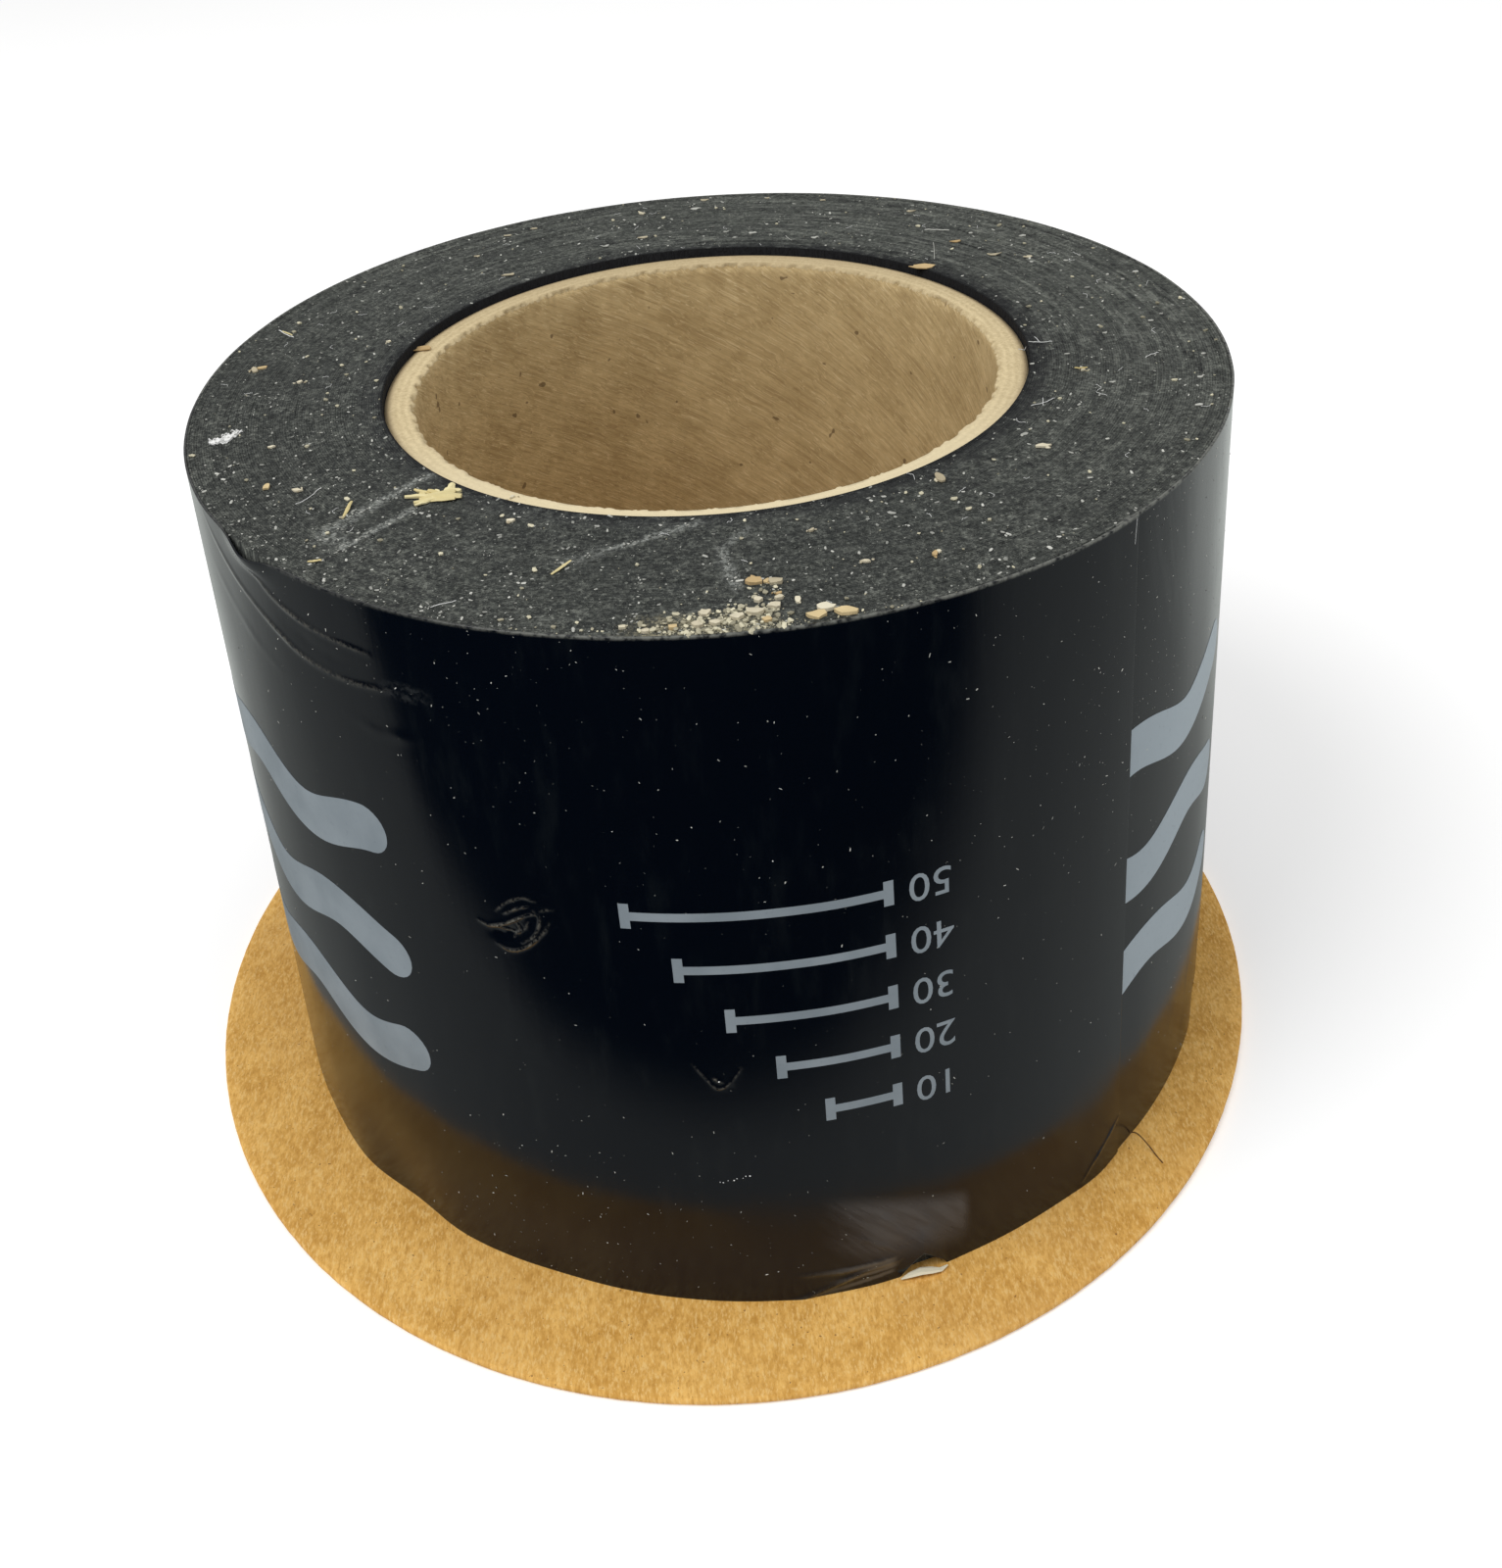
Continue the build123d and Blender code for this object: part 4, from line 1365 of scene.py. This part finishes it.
bits = {
    "lint": [((-61.8, -13.9), 0.6), ((-60.9, -13.6), 0.8), ((-60.3, -12.8), 0.7), ((-59.6, -11.8), 0.4)],
    "cream": [(-61.0, 8.0, 1.3, 0.25), (-48.7, -28.8, 1.0, 0.7), (7.6, -61.6, 0.9, 0.9),
              (22.8, -54.4, 0.7, 0.9), (38.2, -32.3, 1.4, 0.75), (-54.1, -16.3, 0.8, 1.0),
              (-22.9, -40.3, 0.9, 0.95), (-23.3, -32.3, 0.6, 0.8), (10.1, -47.8, 0.7, 0.3),
              (15.2, -55.1, 0.9, 0.6), (25.4, -38.2, 1.7, 0.05), (-8.2, 60.4, 1.1, 0.7),
              (-54.0, 3.0, 0.8, 0.8), (-43.6, 14.6, 0.6, 1.0), (47.3, -12.4, 0.6, 0.8)],
    "wood": [(-60.2, 8.8, 1.1, 0.6), (-52.7, -27.4, 1.2, 0.8), (22.4, -54.9, 0.8, 0.3),
             (3.5, -57.3, 1.3, 0.3), (5.8, -60.1, 0.6, 0.3), (4.7, -57.5, 0.8, 0.6)],
    # small clump of straw: sticks that cross near one place
    "straw": [((-31.4, -32.9), (-35.6, -32.9), 0.80), ((-31.8, -32.6), (-34.6, -31.4), 0.65),
              ((-31.6, -33.4), (-34.3, -34.6), 0.85), ((-31.2, -33.0), (-33.0, -31.9), 0.90),
              ((-32.0, -33.6), (-34.2, -35.2), 0.60), ((-33.4, -32.8), (-28.9, -33.8), 1.30),
              ((-33.8, -33.6), (-29.8, -32.4), 1.10), ((-30.9, -32.3), (-30.2, -30.6), 1.00),
              ((-32.6, -33.9), (-29.6, -34.4), 0.70), ((-42.2, -36.8), (-41.7, -33.1), 0.45),
              ((46.4, -11.6), (47.8, -12.5), 0.30), ((-17.7, -52.9), (-15.7, -50.7), 0.35),
              ((-44.6, -46.2), (-43.0, -46.5), 0.35), ((-58.0, 19.9), (-59.6, 21.0), 0.30)],
    "strawFlakes": [(-31.6, -33.1, 1.6, 0.8), (-32.8, -33.3, 1.3, 0.6), (-30.4, -33.2, 1.4, 0.9),
                    (-33.6, -32.5, 0.9, 0.5), (-29.9, -32.0, 1.2, 0.7), (-31.9, -32.4, 1.1, 0.95)],
    # pale flakes and slivers at the back and the right of the upper end
    "farWhite": [(49.2, 36.7, 1.0), (53.2, 25.0, 0.7), (61.7, 18.8, 0.8), (53.9, 14.4, 0.8),
                 (59.3, 16.6, 0.5), (51.5, 7.6, 0.6), (59.3, 1.2, 0.6), (61.3, 3.5, 0.5),
                 (52.6, -1.5, 0.6), (46.4, -7.3, 0.6), (50.0, -16.5, 0.7), (60.7, -17.1, 0.7),
                 (63.0, -10.3, 0.6), (-13.8, 46.4, 1.1), (-23.2, 37.4, 0.7), (-9.9, 43.0, 0.6),
                 (0.6, 60.6, 1.4), (9.1, 47.3, 1.3), (5.1, 48.7, 0.8), (6.3, 45.7, 0.7),
                 (18.4, 43.0, 1.0), (58.4, -24.8, 0.9), (41.9, 39.7, 0.6)],
    "farCream": [(34.4, 51.5, 1.1, 0.5), (43.6, 29.9, 1.8, 0.6), (48.3, 27.7, 1.2, 0.9),
                 (-29.7, 55.0, 1.0, 0.8), (-25.6, 57.3, 0.8, 0.5), (-33.8, 46.5, 0.8, 0.6),
                 (-28.4, 36.9, 1.6, 0.5), (-8.0, 49.0, 1.3, 0.7), (2.2, 64.7, 1.2, 0.6),
                 (12.4, 63.2, 0.7, 0.5), (21.3, 60.0, 0.7, 0.5)],
    "farWood": [(39.0, 36.5, 1.3, 0.4), (-39.4, 13.8, 2.9, 0.4), (32.8, 27.0, 3.2, 0.9)],
    # thicker chips in the heap of crumbs and beside it
    "nearCream": [(10.2, -63.6, 2.0, 1.9), (5.5, -57.8, 1.7, 0.4), (-1.8, -62.9, 1.5, 1.2),
                  (5.2, -62.4, 1.5, 1.3), (3.3, -63.5, 1.9, 1.1), (1.3, -64.2, 1.5, 1.4),
                  (-2.6, -65.0, 1.3, 1.0), (-0.9, -64.8, 1.2, 1.3), (-7.8, -65.5, 1.0, 1.2),
                  (3.6, -61.1, 1.1, 1.5), (5.7, -60.9, 0.9, 1.2), (-10.2, -64.4, 0.9, 1.4)],
    "nearWood": [(9.2, -64.9, 2.0, 1.6), (12.2, -64.6, 2.3, 1.7), (3.4, -57.4, 2.0, 0.7),
                 (-5.1, -65.1, 1.1, 1.4), (4.3, -64.9, 1.1, 1.2)],
    "farThreads": [([(35.3, 42.6), (37.1, 42.2), (38.9, 41.7)], 0.24),
                   ([(35.8, 37.0), (35.4, 33.5), (34.9, 29.8)], 0.10),
                   ([(14.1, 45.0), (14.4, 43.6), (14.9, 42.6)], 0.10)],
    "threads": [([(41.2, -1.7), (43.5, -2.6), (45.4, -2.9)], 0.10), ([(43.5, -0.8), (43.9, -2.8)], 0.09),
                ([(39.0, -21.5), (40.6, -21.0), (42.2, -19.9)], 0.10),
                ([(40.8, -19.6), (40.4, -21.8)], 0.09),
                ([(-60.3, 22.2), (-59.0, 20.4), (-57.7, 19.2)], 0.13),
                ([(55.8, -9.9), (56.6, -9.2), (57.7, -8.8)], 0.09),
                ([(-46.0, -28.6), (-47.2, -31.0), (-48.4, -32.2)], 0.09),
                ([(-30.0, -57.6), (-27.4, -56.8)], 0.09)],
    # on the film: places in degrees and millimetres up, and size
    "filmDots": [(-94.7, 20.2, 0.12), (-94.4, 20.1, 0.17), (-93.9, 20.4, 0.11), (-93.3, 20.4, 0.20),
                 (-93.0, 20.7, 0.14), (-92.4, 20.7, 0.12), (-92.1, 21.0, 0.18), (-91.7, 21.0, 0.22),
                 (-93.9, 36.1, 0.20), (-87.3, 66.8, 0.16), (-101.5, 71.2, 0.14)],
    "filmThread": ([(-48.3, 95.0), (-48.4, 93.6), (-48.5, 91.9)], 0.05),
    # places in millimetres, the last one above the disc
    "sliver": [(15.3, -66.0, 0.30), (16.4, -65.7, 0.55), (17.8, -65.4, 0.75), (19.2, -65.3, 0.60),
               (20.3, -65.1, 0.40), (21.2, -64.5, 0.35)],
    "sliverWidths": [0.2, 0.8, 1.15, 1.0, 0.7, 0.2],
    "fibres": {"count": 60, "from": 43, "to": 66, "width": 0.06},     # short ones all over the upper end
    "tangle": {"threads": 5, "flakes": 8, "width": 0.15},             # one tuft of white lint
    "hair": [(47.6, -46.6, 0.35), (48.6, -47.2, 0.9), (49.6, -48.6, 0.6), (50.5, -50.4, 0.12),
             (51.0, -51.6, 0.10)],
}


def makeBits():
    dice = random.Random(5)
    heaps = {name: Heap() for name in ("cream", "wood", "straw", "lint", "hair", "dust")}
    for name in ("cream", "wood"):
        for x, y, size, tint in bits[name]:
            heaps[name].flake(x, y, size, dice, tint=tint)
            for _ in range(2):
                heaps[name].flake(x + dice.uniform(-0.8, 0.8), y + dice.uniform(-0.5, 0.5),
                                  size * 0.35, dice, thick=0.12)
    for start, end, width in bits["straw"]:
        heaps["straw"].splinter(start, end, width, dice)
    for x, y, size, tint in bits["strawFlakes"]:
        heaps["straw"].flake(x, y, size, dice, thick=0.35, tint=tint)
    lint, tangle, fibres = heaps["lint"], bits["tangle"], bits["fibres"]
    for corners, width in bits["threads"]:
        lint.thread(corners, width, dice)
    # white lint: a small tangle of threads with flakes in it
    for (cx, cy), wide in bits["lint"]:
        for _ in range(tangle["threads"]):
            angle = dice.uniform(0, 2 * math.pi)
            reach = dice.uniform(0.3, 1.0)
            x, y = cx + dice.gauss(0, 0.5 * wide), cy + dice.gauss(0, 0.35 * wide)
            bent = angle + 1.1
            lint.thread([(x, y), (x + reach * math.cos(angle), y + reach * math.sin(angle) * 0.6),
                         (x + reach * math.cos(bent) * 1.3, y + reach * math.sin(bent) * 0.7)],
                        tangle["width"], dice, lift=dice.uniform(0.1, 0.6), tint=dice.uniform(0.6, 1.0))
        for _ in range(tangle["flakes"]):
            lint.flake(cx + dice.gauss(0, 0.4 * wide), cy + dice.gauss(0, 0.3 * wide),
                       dice.uniform(0.6, 1.2) * wide, dice, thick=0.3, tint=dice.uniform(0.7, 1.0))
    for _ in range(fibres["count"]):
        angle = dice.uniform(-math.pi, math.pi)
        radius = dice.uniform(fibres["from"], fibres["to"])
        x, y = radius * math.cos(angle), radius * math.sin(angle)
        turn = dice.uniform(0, 2 * math.pi)
        reach = dice.uniform(0.4, 1.1)
        bend = turn + dice.uniform(-0.6, 0.6)
        tip = (x + 1.5 * reach * math.cos(bend), y + 1.5 * reach * math.sin(bend))
        if math.hypot(*tip) < fibres["to"]:
            lint.thread([(x, y), (x + reach * math.cos(turn), y + reach * math.sin(turn)), tip],
                        fibres["width"], dice, tint=dice.uniform(0.0, 0.6))
    # white dots and a short scratch on the film
    for angle, height, size in bits["filmDots"]:
        lint.dot(filmPoint(angle, height, 0.05), size, dice)
    corners, width = bits["filmThread"]
    line = [filmPoint(angle, height, 0.03) for angle, height in smoothLine(corners, 4)]
    lint.tube(line, [width] * len(line), dice, tint=0.0)
    # flakes and slivers that lie with their long side across the picture
    for x, y, size in bits["farWhite"]:
        heaps["dust"].flake(x, y, 0.85 * size, dice, thick=0.12, turn=0, tint=dice.uniform(0.2, 0.8))
    for key, thick, stretch in (("far", 0.12, 1.6), ("near", 0.4, 1.2)):
        for name in ("cream", "wood"):
            for x, y, size, tint in bits[key + name.capitalize()]:
                heaps[name].flake(x, y, 0.85 * size, dice, thick=thick, stretch=stretch, turn=0,
                                  tint=0.5 * tint)
    for corners, width in bits["farThreads"]:
        heaps["dust"].thread(corners, 0.8 * width, dice, tint=0.8)
    # paper sliver that sticks out of the nick in the film's foot
    top = disc["thickness"]
    sliver = [(x, y, top + up) for x, y, up in bits["sliver"]]
    heaps["cream"].tube(sliver, bits["sliverWidths"], dice, sides=6, flat=0.35, tint=0.9)
    # hair that comes from under the free end and lies on the disc
    hairLine = smoothLine(bits["hair"], 5)
    heaps["hair"].tube([(x, y, top + up) for x, y, up in hairLine], [0.17] * len(hairLine), dice, tint=0.4)
    return [heap.piece("bits_" + name, materials[name]) for name, heap in heaps.items()]


bitPieces = makeBits()
print("chips, splinters and threads laid")


# Stage

stage = {
    "floorHalf": 1.6, "floorGap": 0.0002,       # metres
    "softLight": 0.53, "white": 1.0,            # the surroundings as light and as the camera sees them
    "target": (0, 0, 0.05),                     # what the lamps point at
    "lamps": [
        {"name": "overhead", "at": (0.45, -0.20, 1.10), "size": 1.0, "watts": 2.6},
        {"name": "window", "at": (-0.62, -0.40, 1.10), "size": 0.75, "watts": 7.5},
    ],
}


def makeFloor():
    mesh = bpy.data.meshes.new("floor")
    half = stage["floorHalf"]
    corners = [(-half, -half, 0), (half, -half, 0), (half, half, 0), (-half, half, 0)]
    mesh.from_pydata(corners, [], [(0, 1, 2, 3)])
    mesh.materials.append(floorMaterial())
    floor = bpy.data.objects.new("floor", mesh)
    bpy.context.collection.objects.link(floor)
    floor.location.z = -stage["floorGap"]


def makeLights():
    world = bpy.data.worlds.new("studio")
    bpy.context.scene.world = world
    world.use_nodes = True
    world.node_tree.nodes.clear()
    wire = Wire(world.node_tree)
    rays = wire.add("ShaderNodeLightPath")
    soft = wire.add("ShaderNodeBackground", {}, {"Color": (1, 1, 1, 1), "Strength": stage["softLight"]})
    white = wire.add("ShaderNodeBackground", {}, {"Color": (1, 1, 1, 1), "Strength": stage["white"]})
    mixed = wire.add("ShaderNodeMixShader", {}, {0: rays.out("Is Camera Ray"), 1: soft, 2: white})
    wire.add("ShaderNodeOutputWorld", {}, {"Surface": mixed})
    target = Vector(stage["target"])
    for lamp in stage["lamps"]:
        light = bpy.data.lights.new(lamp["name"], "AREA")
        light.shape = "DISK"
        light.size = lamp["size"]
        light.energy = lamp["watts"]
        holder = bpy.data.objects.new(lamp["name"], light)
        bpy.context.collection.objects.link(holder)
        holder.location = lamp["at"]
        holder.rotation_euler = (target - holder.location).to_track_quat("-Z", "Y").to_euler()


# the photograph's camera: pixels, then millimetres from the roll's axis and above the floor, then radians
photo = {"wide": 1533, "tall": 1600, "focal": 1815.95, "axisX": 708.05, "axisY": 440.0,
         "distance": 214.80, "height": 190.74, "pitch": 0.45439, "yaw": 0.00961, "roll": -0.08191}


def makeCamera():
    data = bpy.data.cameras.new("camera")
    longSide = max(photo["wide"], photo["tall"])
    data.sensor_fit = "AUTO"
    data.sensor_width = 36.0
    data.lens = photo["focal"] * data.sensor_width / longSide
    data.shift_x = (photo["wide"] / 2 - photo["axisX"]) / longSide
    data.shift_y = (photo["axisY"] - photo["tall"] / 2) / longSide
    data.clip_start = 0.01
    data.clip_end = 20
    camera = bpy.data.objects.new("camera", data)
    bpy.context.collection.objects.link(camera)
    # level, looking along +Y, then pitched down, turned and rolled
    turn = (Matrix.Rotation(photo["yaw"], 4, "Z") @ Matrix.Rotation(-photo["pitch"], 4, "X")
            @ Matrix.Rotation(math.pi / 2, 4, "X"))
    lean = Matrix.Rotation(photo["roll"], 4, "Z")
    stand = Matrix.Translation((0, -photo["distance"] * mm, photo["height"] * mm))
    camera.matrix_world = stand @ turn @ lean
    bpy.context.scene.camera = camera


makeFloor()
makeLights()
makeCamera()
bpy.context.scene.view_settings.view_transform = "Standard"

# What each piece rides on
filmPieces = [outerTurnPiece, windingsPiece, printPiece, *turnEdgePieces, *dustPieces, *bitPieces]
for piece, slotName in (*((each, "tape_film") for each in filmPieces),
                        (corePiece, "core_board"), (discPiece, "kraft_board")):
    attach(piece, "root")
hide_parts("wound_tape")
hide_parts("core")
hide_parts("separator_disc")

print("scene done")
